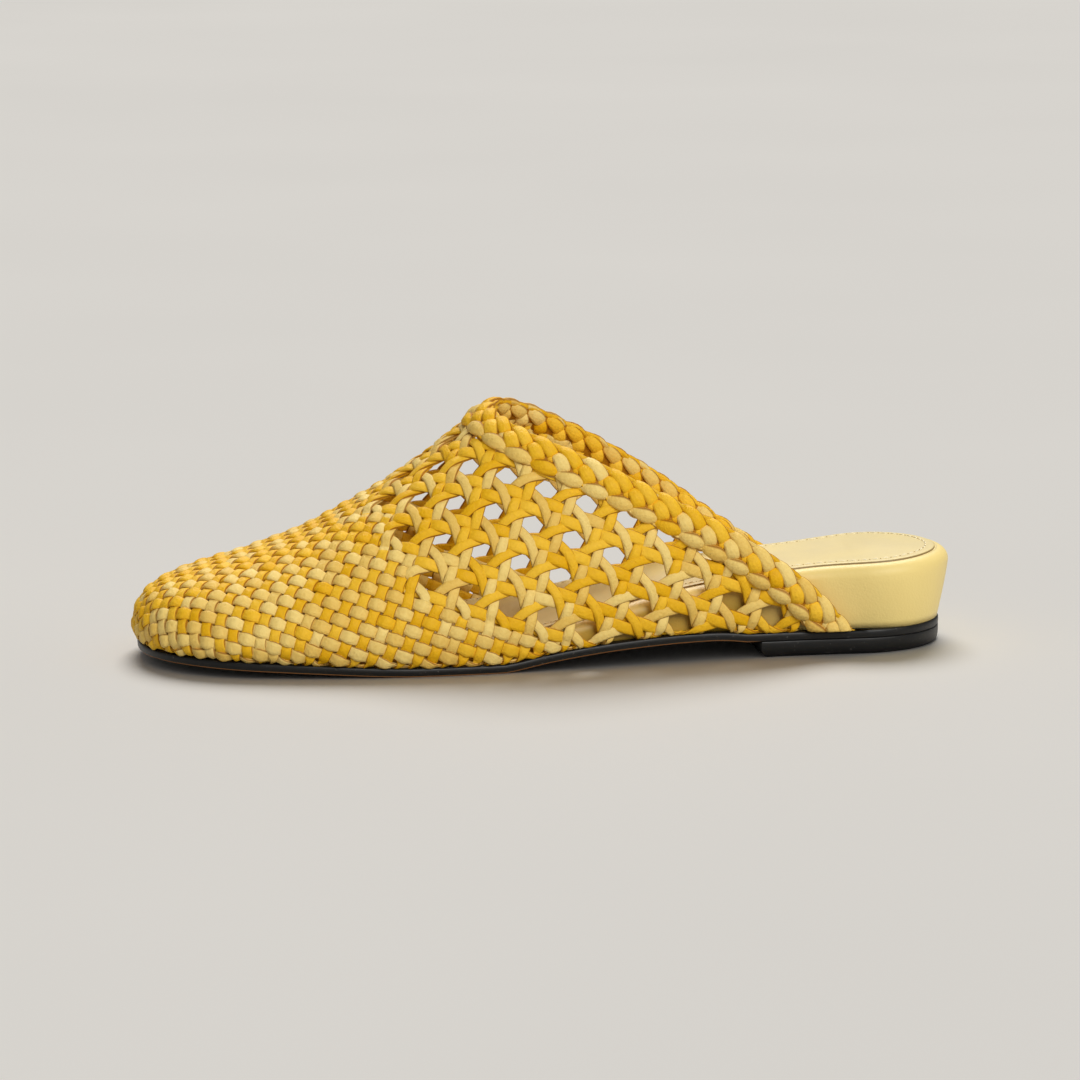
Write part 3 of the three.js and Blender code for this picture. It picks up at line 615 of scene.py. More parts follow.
def on_plait(place):
    """Carries points (length along, across towards the opening, outwards) onto the collar."""
    travelled, points, across, normals = PLAIT
    u = place[..., 0]

    def read(table):
        return np.stack([np.interp(u, travelled, table[:, i]) for i in range(3)], -1)

    return read(points) + read(across) * place[..., 1:2] + read(normals) * place[..., 2:3]


# The plait's lobes on its outer face and on its inner face. Each row is the share of the lobe's length,
# then length along, way across towards the opening, lift over the band, width and thickness.
OUTER_LOBES = {
    "arch": (
        (0.0, -6.2, 3.9, -1.2, 1.0, 0.6),
        (0.2, -4.2, 4.3, -0.1, 2.7, 1.6),
        (0.45, -1.6, 3.9, 0.55, 4.0, 2.4),
        (0.72, 1.0, 2.6, 0.6, 4.4, 2.5),
        (0.9, 2.6, 1.6, 0.1, 4.2, 2.1),
        (1.0, 3.4, 0.9, -1.2, 3.6, 1.4),
    ),
    "steep": (
        (0.0, -4.6, 2.5, -1.2, 4.2, 1.4),
        (0.2, -3.7, 1.8, 0.0, 4.7, 2.2),
        (0.5, -2.2, 0.3, 0.6, 4.8, 2.6),
        (0.8, -0.7, -1.2, 0.1, 4.6, 2.2),
        (1.0, 0.2, -2.1, -1.2, 4.1, 1.4),
    ),
    "leaf": (
        (0.0, -3.6, -3.0, -1.2, 0.9, 0.6),
        (0.2, -1.3, -3.5, -0.1, 2.7, 1.6),
        (0.45, 1.2, -3.4, 0.5, 4.2, 2.4),
        (0.7, 3.5, -3.1, 0.5, 4.5, 2.5),
        (0.88, 5.4, -3.1, -0.1, 3.0, 1.9),
        (1.0, 6.9, -3.3, -1.2, 1.0, 0.9),
    ),
    "gather": (
        (0.0, 1.7, 0.9, -1.2, 1.6, 0.8),
        (0.35, 2.5, 0.2, 0.0, 2.3, 1.4),
        (0.7, 3.4, -0.7, 0.0, 2.2, 1.4),
        (1.0, 4.2, -1.6, -1.2, 1.4, 0.8),
    ),
}
INNER_LOBES = {
    "arch": (
        (0.0, 4.4, 3.8, -1.2, 1.0, 0.7),
        (0.22, 2.4, 3.5, 0.0, 3.2, 1.8),
        (0.5, 0.0, 3.0, 0.5, 4.3, 2.4),
        (0.78, -2.2, 2.1, 0.1, 3.8, 1.9),
        (1.0, -4.1, 1.2, -1.2, 1.6, 1.0),
    ),
    "square": (
        (0.0, 5.6, 2.0, -1.2, 3.8, 1.3),
        (0.25, 4.8, 1.1, 0.1, 4.4, 2.1),
        (0.75, 3.3, -0.9, 0.1, 4.4, 2.1),
        (1.0, 2.5, -1.9, -1.2, 3.8, 1.3),
    ),
    "leaf": (
        (0.0, 4.2, -2.6, -1.2, 1.0, 0.7),
        (0.3, 2.0, -3.3, 0.0, 3.2, 1.8),
        (0.6, -0.6, -3.5, 0.3, 3.8, 2.0),
        (1.0, -4.0, -3.0, -1.2, 1.0, 0.9),
    ),
    "rim": (
        (0.0, 5.6, 4.2, -1.0, 1.0, 0.8),
        (0.3, 2.6, 4.6, -0.2, 1.8, 1.4),
        (0.7, -1.4, 4.6, -0.2, 1.8, 1.4),
        (1.0, -4.6, 4.1, -1.0, 0.8, 0.8),
    ),
}


def plait_lobes(rows, face, pitch, samples):
    """All lobes of one kind. A lobe is a rounded section carried along a curve through its rows. Its
    lift is added to the band's own rounding, and the section leans outwards near the band's edges."""
    rows = np.asarray(rows, float)
    share = np.linspace(0, 1, samples)
    along, across, lift, width, thick = (through(rows[:, (0, column)], share) for column in range(1, 6))
    count = int(PLAIT[0][-1] // pitch)
    along = np.arange(-count, count + 1)[:, None] * pitch + along
    across, lift, width, thick = (np.broadcast_to(each, along.shape) for each in (across, lift, width, thick))
    rounding = PLAIT_ROUNDING * np.sqrt(np.clip(1 - (across / PLAIT_HALF) ** 2, 0, 1))
    outward = CORE_OFFSET + face * (rounding - 0.55 + lift)
    path = np.stack([along, across, outward], -1)
    lean = np.radians(30) * np.clip(across / 5, -1, 1)
    normal = np.stack([np.zeros_like(lean), np.sin(lean), face * np.cos(lean)], -1)
    solid, travelled = sweep(path, normal, width, thick, around=10, square=0.7)
    return on_plait(solid), travelled


def over_sole(solid):
    """The points, raised where they would sink into the sole, and how far each stood above it before."""
    floor = sole_top(np.clip(solid[..., 0], 0, LENGTH)) + SOLE_CLEARANCE
    raised = solid.copy()
    raised[..., 2] = np.maximum(solid[..., 2], floor)
    return raised, solid[..., 2] - floor


def plait_piece(lobes, face, pitch, seed, cream):
    """Points and faces of all kinds of lobes on one face of the plait. Lobes that don't stand clear of
    the sole are left out."""
    all_points, all_groups, offset = [], [], 0
    for number, (kind, rows) in enumerate(lobes.items()):
        samples = 6 if kind == "gather" else 9
        solid, travelled = plait_lobes(rows, face, pitch, samples)
        solid, above = over_sole(solid)
        standing = (above > 0.8).any((1, 2))
        solid, travelled = solid[standing], travelled[standing]
        order = np.arange(len(solid))
        tint = chance(order, number, seed + 9)
        tone = two_tone(chance(order, number, seed), cream[kind], tint)
        tone, tint = (np.repeat(values[:, None], samples, 1) for values in (tone, tint))
        groups = tube_groups(solid.shape[:3], np.ones(solid.shape[:2], bool), travelled, tone, tint)
        all_groups += [{**group, "faces": group["faces"] + offset} for group in groups]
        all_points.append(solid.reshape(-1, 3))
        offset += len(all_points[-1])
    return np.concatenate(all_points), all_groups


def plait_core():
    """The band inside the plait: an oval section carried along the collar."""
    samples, around = 300, 16
    u = np.linspace(PLAIT[0][0] + 2, PLAIT[0][-1] - 2, samples)[:, None]
    turn = 2 * math.pi * np.arange(around) / around
    place = np.broadcast_arrays(u, CORE_HALF[0] * np.cos(turn), CORE_OFFSET + CORE_HALF[1] * np.sin(turn))
    solid, above = over_sole(on_plait(np.stack(place, -1))[None])
    standing = (above > 0.3).any(2)
    plain = np.zeros((1, samples))
    return solid, tube_groups(solid.shape[:3], standing, u.T - u[0], plain, plain + 0.3)


def outline_ring(places, grow, height):
    """One ring round the sole's outline, moved outwards by grow along the outline's own normal, and at a
    given height: along the outer side to the heel, and back along the inner side. Both may differ from
    place to place."""
    rings = []
    step = 0.05
    for sign in (-1, 1):
        before = np.maximum(places - step, 0)
        after = np.minimum(places + step, LENGTH)
        ds = after - before
        dy = half_width(after, sign) - half_width(before, sign)
        size = np.hypot(ds, dy)
        at = places - grow * dy / size
        y = np.maximum(half_width(places, sign) + grow * ds / size, 0.01)
        rings.append(np.stack([at, sign * y, np.broadcast_to(height, at.shape)], 1))
    return np.concatenate([rings[0], rings[1][::-1]])


def ring_stack(levels):
    """Faces and points of a solid stacked from rings, closed below and above by a ladder of quads."""
    points = np.stack(levels)
    count, around = points.shape[:2]
    index = np.arange(count * around).reshape(count, around)
    nxt = np.roll(index, -1, axis=1)
    walls = np.stack([index[:-1], nxt[:-1], nxt[1:], index[1:]], -1).reshape(-1, 4)
    half = around // 2
    k = np.arange(half - 1)
    bottom = np.stack([index[0, k], index[0, around - 1 - k], index[0, around - 2 - k], index[0, k + 1]], -1)
    top = np.stack([index[-1, k], index[-1, k + 1], index[-1, around - 2 - k], index[-1, around - 1 - k]], -1)
    return points, np.concatenate([walls, bottom, top])


def even_places(start, end, count):
    """Places along the foot, closer together towards both ends."""
    return start + (end - start) * (1 - np.cos(np.linspace(0, math.pi, count))) / 2


def ring_piece(name, levels, values=None):
    """An object stacked from rings. values holds a number for each level, kept as a point attribute."""
    points, faces = ring_stack(levels)
    piece = add_mesh(name, points, [{"faces": faces}])
    if values is not None:
        data = np.repeat(np.asarray(values, np.float32), points.shape[1])
        piece.data.attributes.new("level", "FLOAT", "POINT").data.foreach_set("value", data)
    return piece


def footbed_edge(s):
    """How far the footbed's rim stands out from the sole's outline."""
    swell = ease(0.81 * LENGTH, 0.95 * LENGTH, s)
    return -FOOTBED_INSET + (FOOTBED_INSET + RIM_OVERHANG) * swell


def footbed_levels():
    """Rings of the footbed: a wall that leans out towards the heel's rim, and a rolled edge as a quarter
    of a circle. Their values are 0 on the wall and rise to 1 over the edge."""
    places = even_places(0, LENGTH, 150)
    edge = footbed_edge(places)
    foot = sole_top(places) + 0.05
    depth = seat_top(places) - foot
    rim = np.minimum(RIM_RADIUS, 0.6 * depth)
    base = -FOOTBED_INSET * (1 - 0.85 * ease(0.88 * LENGTH, 0.95 * LENGTH, places))
    levels, values = [], []
    for share in np.linspace(0, 1, 9):
        lean = edge + (1 - share) ** 1.2 * (base - edge)
        levels.append(outline_ring(places, lean, foot + share * (depth - rim)))
        values.append(0.0)
    for angle in np.linspace(0, math.pi / 2, 10)[1:]:
        grow = edge - rim * (1 - math.cos(angle))
        levels.append(outline_ring(places, grow, seat_top(places) - rim * (1 - math.sin(angle))))
        values.append(angle / (math.pi / 2))
    return levels, values


def sock_levels():
    """Rings of the sock: its edge, a fine groove, a shallow padded rise and the level middle. A row is the
    inset from the footbed's edge and the rise over its upper face."""
    places = even_places(0, LENGTH, 150)
    rows = (
        (3.4, -0.3), (3.4, 0.0), (3.6, 0.06), (3.8, 0.0), (3.95, -0.2), (4.1, -0.2), (4.15, 0.1),
        (4.25, 0.44), (4.5, 0.56), (5.2, 0.62), (6.2, 0.64), (7.0, 0.58), (8.0, 0.64),
        (11, 0.7), (16, 0.7), (22, 0.7),
    )
    edge, top = footbed_edge(places), seat_top(places)
    levels = [outline_ring(places, edge - inset, top + rise) for inset, rise in rows]
    return levels, [inset for inset, rise in rows]


def points_along(line, travelled, where):
    """Points of a line at the given lengths along it."""
    return np.stack([np.interp(where, travelled, line[:, i]) for i in range(3)], -1)


def stitch_points(pitch):
    """The sock's row of stitches, with its holes' centres: short rounded tubes in a row along the
    outline's inset, and a hole midway between each two."""
    places = even_places(6, LENGTH, 500)
    line = outline_ring(places, footbed_edge(places) - STITCH_INSET, seat_top(places) + 0.6)
    steps = np.linalg.norm(np.diff(line, axis=0), axis=1)
    travelled = np.concatenate([[0], np.cumsum(steps)])
    starts = np.arange(2, travelled[-1] - 3, pitch)
    t = np.linspace(0, 1, 7)
    where = starts[:, None] + t[None] * STITCH_LENGTH
    path = points_along(line, travelled, where)
    path[..., 2] += 0.22 * np.sin(math.pi * t) - 0.1
    normals = np.zeros_like(path)
    normals[..., 2] = 1
    size = np.broadcast_to(STITCH_WIDTH * np.sin(math.pi * (0.12 + 0.76 * t)), where.shape)
    solid, run = sweep(path, normals, size, size * 0.7, around=6, square=1.0)
    plain = np.zeros(where.shape)
    holes = points_along(line, travelled, starts + (STITCH_LENGTH + pitch) / 2)
    return solid, tube_groups(solid.shape[:3], np.ones(where.shape, bool), run, plain, plain), holes


def dimple_piece(name, centres, radius):
    """Small holes, each a closed plug set into the sock, whose dark colour is painted shade: eight corners
    over eight narrower ones.
    """
    turn = 2 * math.pi * np.arange(8) / 8
    ring = np.stack([radius * np.cos(turn), radius * np.sin(turn), np.zeros(8)], -1)
    upper = centres[:, None, :] + ring[None] + np.array([0, 0, 0.12])
    lower = centres[:, None, :] + 0.6 * ring[None] - np.array([0, 0, 0.3])
    points = np.stack([lower, upper], 1)
    index = np.arange(len(centres) * 16).reshape(len(centres), 2, 8)
    k = np.arange(8)
    nxt = (k + 1) % 8
    walls = np.stack([index[:, 0, k], index[:, 0, nxt], index[:, 1, nxt], index[:, 1, k]], -1).reshape(-1, 4)
    caps = np.concatenate([index[:, 1, :], index[:, 0, ::-1]])
    return add_mesh(name, points, [{"faces": walls}, {"faces": caps}])


def outsole_levels():
    """Rings of the sole: a slightly rounded lower edge, an upright painted edge and a small upper edge. A
    row is how far the ring stands out, its height over the lower face, and 1 for paint or 0 for tan."""
    places = even_places(0, LENGTH, 170)
    low = underside(places)
    rows = (
        (-1.6, 0.0, 1), (-0.6, 0.0, 1), (-0.5, 0.02, 0), (-0.2, 0.1, 0), (-0.04, 0.28, 0), (-0.04, 0.38, 1),
        (0.0, 0.8, 1), (0.05, 1.4, 1), (0.0, 2.1, 1), (-0.15, 2.4, 1), (-0.45, 2.56, 1), (-1.2, 2.6, 1),
    )
    levels = [outline_ring(places, grow, low + rise) for grow, rise, paint in rows]
    return levels, [paint for grow, rise, paint in rows]


def lift_levels():
    """Rings of the heel lift: the sole's outline behind the breast, rounded at its edges. A row is how far
    the ring stands out and its height. The breast's own edges are rounded further back."""
    places = even_places(BREAST, LENGTH, 90)
    rows = (
        (-3.0, 0.0), (-1.5, 0.0), (-0.9, 0.12), (-0.5, 0.45), (-0.25, 0.95), (-0.1, 1.7), (0.0, 2.6),
        (0.0, 3.9), (-0.03, 4.6), (-0.1, 4.8), (-0.3, 4.88),
    )
    levels = []
    for grow, rise in rows:
        ring = outline_ring(places, grow, rise)
        front = 1 - ease(0, 6, ring[:, 0] - BREAST)
        ring[:, 0] += 2.2 * np.clip(-grow, 0, 1.2) * front
        levels.append(ring)
    return levels


def value_group(name, inputs, outputs):
    """A new shader node group with the named inputs and outputs, and its two end nodes."""
    group = bpy.data.node_groups.new(name, "ShaderNodeTree")
    for label, kind in inputs:
        group.interface.new_socket(name=label, in_out="INPUT", socket_type=kind)
    for label, kind in outputs:
        group.interface.new_socket(name=label, in_out="OUTPUT", socket_type=kind)
    return group, group.nodes.new("NodeGroupInput"), group.nodes.new("NodeGroupOutput")


def feed(tree, socket, value):
    """Links a socket to an input, or sets the input to a number, a vector or a colour without alpha."""
    if isinstance(value, bpy.types.NodeSocket):
        tree.links.new(value, socket)
    elif socket.type == "RGBA":
        socket.default_value = (*value[:3], 1)
    else:
        socket.default_value = value


def add_node(tree, kind, **settings):
    """A node with its settings. A setting that names an input feeds that input."""
    node = tree.nodes.new(kind)
    for key, value in settings.items():
        if key in node.inputs:
            feed(tree, node.inputs[key], value)
        else:
            setattr(node, key, value)
    return node


def math_node(tree, operation, *sides, clamp=False):
    """A Math node whose sides are sockets or plain numbers."""
    node = add_node(tree, "ShaderNodeMath", operation=operation, use_clamp=clamp)
    for socket, side in zip(node.inputs, sides):
        feed(tree, socket, side)
    return node.outputs[0]


def scaled(tree, value, factor, offset=0.0, clamp=False):
    """The value times the factor plus the offset."""
    return math_node(tree, "MULTIPLY_ADD", value, factor, offset, clamp=clamp)


def ramp(tree, value, zero, slope):
    """A mask that starts from 0 where the value passes zero and climbs by the slope up to 1."""
    return scaled(tree, value, slope, -zero * slope, clamp=True)


def mix_colour(tree, factor, first, second, blend="MIX"):
    """A colour Mix node. Each side is a socket or a colour."""
    node = add_node(tree, "ShaderNodeMix", data_type="RGBA", blend_type=blend)
    for slot, side in ((0, factor), (6, first), (7, second)):
        feed(tree, node.inputs[slot], side)
    return node.outputs[2]


def noise(tree, place, scale, detail, roughness=0.5):
    """Value of a Noise texture."""
    settings = {"Vector": place, "Scale": scale, "Detail": detail, "Roughness": roughness}
    return add_node(tree, "ShaderNodeTexNoise", **settings).outputs[0]


def stretched(tree, place, scale):
    """Coordinates stretched by a scale for each axis."""
    return add_node(tree, "ShaderNodeMapping", Vector=place, Scale=scale).outputs[0]


def attribute(tree, name):
    """Value of a mesh attribute."""
    return add_node(tree, "ShaderNodeAttribute", attribute_name=name).outputs["Fac"]


def strip_grain_group(name):
    """Fine lengthwise grain of cut leather strips, read from the strip's own coordinates: long streaks
    from noise stretched along the strip, and small pores from a finer noise."""
    group, given, made = value_group(
        name,
        (("Coordinates", "NodeSocketVector"),),
        (("Height", "NodeSocketFloat"), ("Shade", "NodeSocketFloat")),
    )
    place = given.outputs["Coordinates"]
    streaks = noise(group, stretched(group, place, (0.9, 14, 1)), 1.0, 3.0, 0.6)
    pores = noise(group, stretched(group, place, (3.2, 26, 1)), 1.0, 2.0)
    feed(group, made.inputs["Height"], scaled(group, pores, 0.6, streaks))
    feed(group, made.inputs["Shade"], streaks)
    return group


def hide_grain_group(name):
    """Fine pebbled grain of a leather cover, read from the object's coordinates: small cells and a soft
    noise that makes them uneven."""
    group, given, made = value_group(
        name,
        (("Coordinates", "NodeSocketVector"), ("Grain scale", "NodeSocketFloat")),
        (("Height", "NodeSocketFloat"), ("Mottle", "NodeSocketFloat")),
    )
    place, scale = given.outputs["Coordinates"], given.outputs["Grain scale"]
    cells = add_node(group, "ShaderNodeTexVoronoi", Vector=place, Scale=scale).outputs[0]
    feed(group, made.inputs["Height"], scaled(group, cells, 0.5, noise(group, place, 420.0, 4.0, 0.65)))
    feed(group, made.inputs["Mottle"], noise(group, place, 38.0, 3.0))
    return group


def grain_node(tree, name, maker, **settings):
    """A node of the named group, which is built the first time that it is asked for."""
    group = bpy.data.node_groups.get(name) or maker(name)
    return add_node(tree, "ShaderNodeGroup", node_tree=group, **settings)


def new_material(name):
    """An empty node material and its tree."""
    material = bpy.data.materials.new(name)
    material.use_nodes = True
    return material, material.node_tree


def surface(tree, colour, roughness, specular, height=None, strength=0.0, distance=0.0):
    """Feeds the Principled shader with a colour, a roughness, a specular level and a bump from a height."""
    shader = tree.nodes["Principled BSDF"]
    feed(tree, shader.inputs["Base Color"], colour)
    feed(tree, shader.inputs["Roughness"], roughness)
    feed(tree, shader.inputs["Specular IOR Level"], specular)
    if height is not None:
        bump = add_node(tree, "ShaderNodeBump", Strength=strength, Distance=distance, Height=height)
        feed(tree, shader.inputs["Normal"], bump.outputs[0])


def strip_leather(name, yellow, cream):
    """Two-tone leather of the strips: yellow or cream by the segment's own tone, a little lighter or
    darker from one segment to the next, with lengthwise grain, and cut edges that are browner and
    darkened further as painted shade where the strips meet."""
    material, tree = new_material(name)
    place = add_node(tree, "ShaderNodeUVMap", uv_map="strip").outputs[0]
    grain = grain_node(tree, "Strip grain", strip_grain_group, Coordinates=place)
    base = mix_colour(tree, attribute(tree, "tone"), yellow, cream)
    deep = mix_colour(tree, 0.9, base, (0.84, 0.74, 0.52), "MULTIPLY")
    streak = scaled(tree, grain.outputs["Shade"], 1.5, -0.51)
    shade = scaled(tree, attribute(tree, "tint"), 0.7, streak, clamp=True)
    colour = mix_colour(tree, shade, deep, base)
    # Painted shade: the section's two sides turn dark brown. This is partly the cut edge's own colour and
    # partly shade between neighbouring strips.
    turn = scaled(tree, add_node(tree, "ShaderNodeSeparateXYZ", Vector=place).outputs[1], 2 * math.pi)
    side = math_node(tree, "ABSOLUTE", math_node(tree, "COSINE", turn))
    colour = mix_colour(tree, ramp(tree, side, 0.86, 6.5), colour, (0.4, 0.23, 0.08), "MULTIPLY")
    roughness = scaled(tree, grain.outputs["Shade"], 0.2, 0.4)
    surface(tree, colour, roughness, 0.2, grain.outputs["Height"], 0.75, 0.0004)
    return material


def cover_leather(name, colour, shadow, groove=False):
    """Smooth cream cover leather with a fine grain. On the sock a dark fine line runs in its groove. Where
    the footbed's wall lies inside the vamp, painted shade turns it a browner, darker tone."""
    material, tree = new_material(name)
    place = add_node(tree, "ShaderNodeTexCoord").outputs["Object"]
    grain = grain_node(tree, "Hide grain", hide_grain_group, Coordinates=place)
    grain.inputs["Grain scale"].default_value = 1500.0
    base = mix_colour(tree, grain.outputs["Mottle"], shadow, colour)
    level = attribute(tree, "level")
    if groove:
        off = math_node(tree, "ABSOLUTE", scaled(tree, level, 1.0, -GROOVE_INSET))
        line = ramp(tree, off, GROOVE_HALF, -1 / GROOVE_HALF)
        base = mix_colour(tree, line, base, (0.16, 0.075, 0.012))
    else:
        along = add_node(tree, "ShaderNodeSeparateXYZ", Vector=place).outputs[0]
        # Painted shade: the footbed's wall turns a browner, darker tone inside the vamp, fading out over the
        # rolled rim.
        inside = ramp(tree, along, -0.01, -40.0)
        wall = ramp(tree, level, 1 / 1.3, -1.3)
        vamp_shade_mask = math_node(tree, "MULTIPLY", inside, wall)
        base = mix_colour(tree, vamp_shade_mask, base, (0.52, 0.42, 0.15), "MULTIPLY")
    roughness = scaled(tree, grain.outputs["Mottle"], 0.12, 0.4)
    surface(tree, base, roughness, 0.4, grain.outputs["Height"], 0.5, 0.00016)
    return material


def edge_paint(name, black, tan, layered):
    """Black edge paint with fine light scratches and specks. On a layered edge the tan leather shows
    where the level is 0, as far back as the heel block."""
    material, tree = new_material(name)
    place = add_node(tree, "ShaderNodeTexCoord").outputs["Object"]
    scratches = noise(tree, stretched(tree, place, (260, 900, 1800)), 1.0, 4.0, 0.7)
    specks = noise(tree, place, 900.0, 1.0)
    marks = math_node(tree, "MAXIMUM", ramp(tree, scratches, 0.62, 4.0), ramp(tree, specks, 0.7, 9.0))
    base = mix_colour(tree, scaled(tree, marks, 0.5), black, (0.16, 0.15, 0.14))
    if layered:
        along = add_node(tree, "ShaderNodeSeparateXYZ", Vector=place).outputs[0]
        painted = math_node(tree, "MAXIMUM", attribute(tree, "level"), ramp(tree, along, -0.036, 200.0))
        base = mix_colour(tree, painted, tan, base)
    surface(tree, base, scaled(tree, scratches, 0.3, 0.28), 0.42, scratches, 0.25, 0.0001)
    return material


def plain_material(name, colour, roughness, grain_scale):
    """A matt material with a faint mottle, for thread, stitch holes and the studio floor."""
    material, tree = new_material(name)
    place = add_node(tree, "ShaderNodeTexCoord").outputs["Object"]
    darker = tuple(0.94 * c for c in colour)
    surface(tree, mix_colour(tree, noise(tree, place, grain_scale, 2.0), darker, colour), roughness, 0.2)
    return material


def finish_piece(piece, material, nodes):
    """Gives a piece its material and its body, and hides the CAD nodes that it stands for."""
    piece.data.materials.append(material)
    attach(piece, "root")
    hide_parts(*nodes)


def size_property(name, description, default, low, high):
    """A size for the sidebar, in millimetres."""
    return bpy.props.FloatProperty(
        name=name, description=f"{description}, in mm", default=default, min=low, max=high)


class MuleWeaveSizes(bpy.types.PropertyGroup):
    """Sizes of the vamp's strips, in millimetres."""

    closed_width: size_property("Closed strip width", "Width of a strip in the toe's weave", 3.85, 2.5, 4.2)
    open_width: size_property("Webbing strip width", "Width of a strip in the open webbing", 3.45, 2.0, 3.9)
    strip_thickness: size_property("Strip thickness", "Thickness of a strip", 1.3, 0.6, 1.8)
    wave_height: size_property("Over and under", "Rise and fall of a strip at its crossings", 0.7, 0.2, 1.0)


class MulePlaitSizes(bpy.types.PropertyGroup):
    """Spacings of the collar's lobes and of the sock's stitches, in millimetres."""

    outer_pitch: size_property("Outer pitch", "Spacing of the lobes along the outer face", 8.3, 5, 12)
    inner_pitch: size_property("Inner pitch", "Spacing of the lobes along the inner face", 7.3, 5, 12)
    stitch_pitch: size_property("Stitch pitch", "Spacing of the sock's stitches", 3.4, 2, 6)


def colour_property(name, description, default):
    """A colour for the sidebar."""
    return bpy.props.FloatVectorProperty(
        name=name, description=description, subtype="COLOR", size=3, min=0, max=1, default=default)


class MuleColours(bpy.types.PropertyGroup):
    """Colours of the leathers, in linear light."""

    yellow: colour_property("Yellow strips", "Deep yellow of the strips", (0.92, 0.53, 0.003))
    cream: colour_property("Cream strips", "Cream of the strips", (0.92, 0.69, 0.23))
    cover: colour_property("Footbed cover", "Cream cover of the footbed", (0.9, 0.715, 0.27))
    cover_shadow: colour_property("Cover mottle", "Darker tone of the footbed cover", (0.84, 0.64, 0.225))
    sock: colour_property("Sock", "Pale cream of the sock", (0.6, 0.495, 0.275))
    edge_black: colour_property("Edge paint", "Black of the sole's edge and the heel", (0.004, 0.004, 0.004))
    sole_tan: colour_property("Sole leather", "Tan of the sole's lower edge", (0.42, 0.19, 0.06))
    floor: colour_property("Studio floor", "Pale grey of the floor", (0.94, 0.917, 0.878))


class MULE_OT_vamp(bpy.types.Operator):
    """Weaves the vamp: four families of strips over the last, closed at the toe and open behind"""

    bl_idname = "mule.vamp"
    bl_label = "Weave the vamp"

    def execute(self, context):
        sizes, colours = context.scene.mule_weave, context.scene.mule_colours
        leather = strip_leather("strip_leather", tuple(colours.yellow), tuple(colours.cream))
        for kind in FAMILIES:
            piece = add_mesh(f"vamp_strips_{kind}", *weave_family(kind, sizes))
            finish_piece(piece, leather, ("upper",))
        return {"FINISHED"}


class MULE_OT_collar(bpy.types.Operator):
    """Plaits the collar: a band with rows of lobes on its outer face and on its inner face"""

    bl_idname = "mule.collar"
    bl_label = "Plait the collar"

    def execute(self, context):
        sizes, colours = context.scene.mule_plait, context.scene.mule_colours
        leather = strip_leather("plait_leather", tuple(colours.yellow), tuple(colours.cream))
        outer_cream = {"arch": 0.64, "steep": 0.4, "leaf": 0.78, "gather": 0.15}
        inner_cream = {"arch": 0.7, "square": 0.15, "leaf": 0.6, "rim": 0.1}
        faces = (
            ("collar_outer_lobes", OUTER_LOBES, 1, sizes.outer_pitch, 21, outer_cream),
            ("collar_inner_lobes", INNER_LOBES, -1, sizes.inner_pitch, 33, inner_cream),
        )
        for name, lobes, face, pitch, seed, cream in faces:
            piece = add_mesh(name, *plait_piece(lobes, face, pitch, seed, cream))
            finish_piece(piece, leather, ("collar_braid",))
        # Painted shade: the band inside the plait is a dark brown that stands for the shade in the gaps
        # between the lobes.
        core_shade_colour = (0.46, 0.2, 0.004)
        deep = strip_leather("plait_core_painted_shade", core_shade_colour, core_shade_colour)
        finish_piece(add_mesh("collar_core", *plait_core()), deep, ("collar_braid",))
        return {"FINISHED"}


class MULE_OT_footbed(bpy.types.Operator):
    """Builds the wrapped footbed with its rolled rim, the sock with its groove, and the stitches"""

    bl_idname = "mule.footbed"
    bl_label = "Wrap the footbed"

    def execute(self, context):
        sizes, colours = context.scene.mule_plait, context.scene.mule_colours
        cover, shadow = tuple(colours.cover), tuple(colours.cover_shadow)
        wedge = ring_piece("footbed_cover", *footbed_levels())
        finish_piece(wedge, cover_leather("footbed_leather", cover, shadow), ("footbed",))
        sock = ring_piece("sock_leather_top", *sock_levels())
        sock_leather = cover_leather("sock_leather", tuple(colours.sock), cover, groove=True)
        finish_piece(sock, sock_leather, ("insole",))
        solid, groups, holes = stitch_points(sizes.stitch_pitch)
        thread = plain_material("stitch_thread", (0.93, 0.84, 0.58), 0.7, 2000.0)
        finish_piece(add_mesh("sock_stitches", solid, groups), thread, ("insole",))
        # Painted shade: the plugs in the stitch holes are a dark brown that stands for the shade inside the
        # holes.
        dark = plain_material("stitch_hole", (0.4, 0.24, 0.08), 0.8, 2000.0)
        dimples = dimple_piece("sock_stitch_holes", holes, HOLE_RADIUS)
        finish_piece(dimples, dark, ("insole",))
        return {"FINISHED"}


class MULE_OT_sole(bpy.types.Operator):
    """Builds the outsole with its painted edge and the heel lift"""

    bl_idname = "mule.sole"
    bl_label = "Cut the sole and heel"

    def execute(self, context):
        colours = context.scene.mule_colours
        black, tan = tuple(colours.edge_black), tuple(colours.sole_tan)
        sole = ring_piece("outsole_slab", *outsole_levels())
        finish_piece(sole, edge_paint("sole_edge_paint", black, tan, True), ("outsole",))
        lift = ring_piece("heel_lift_block", lift_levels())
        finish_piece(lift, edge_paint("heel_edge_paint", black, tan, False), ("heel_lift",))
        return {"FINISHED"}


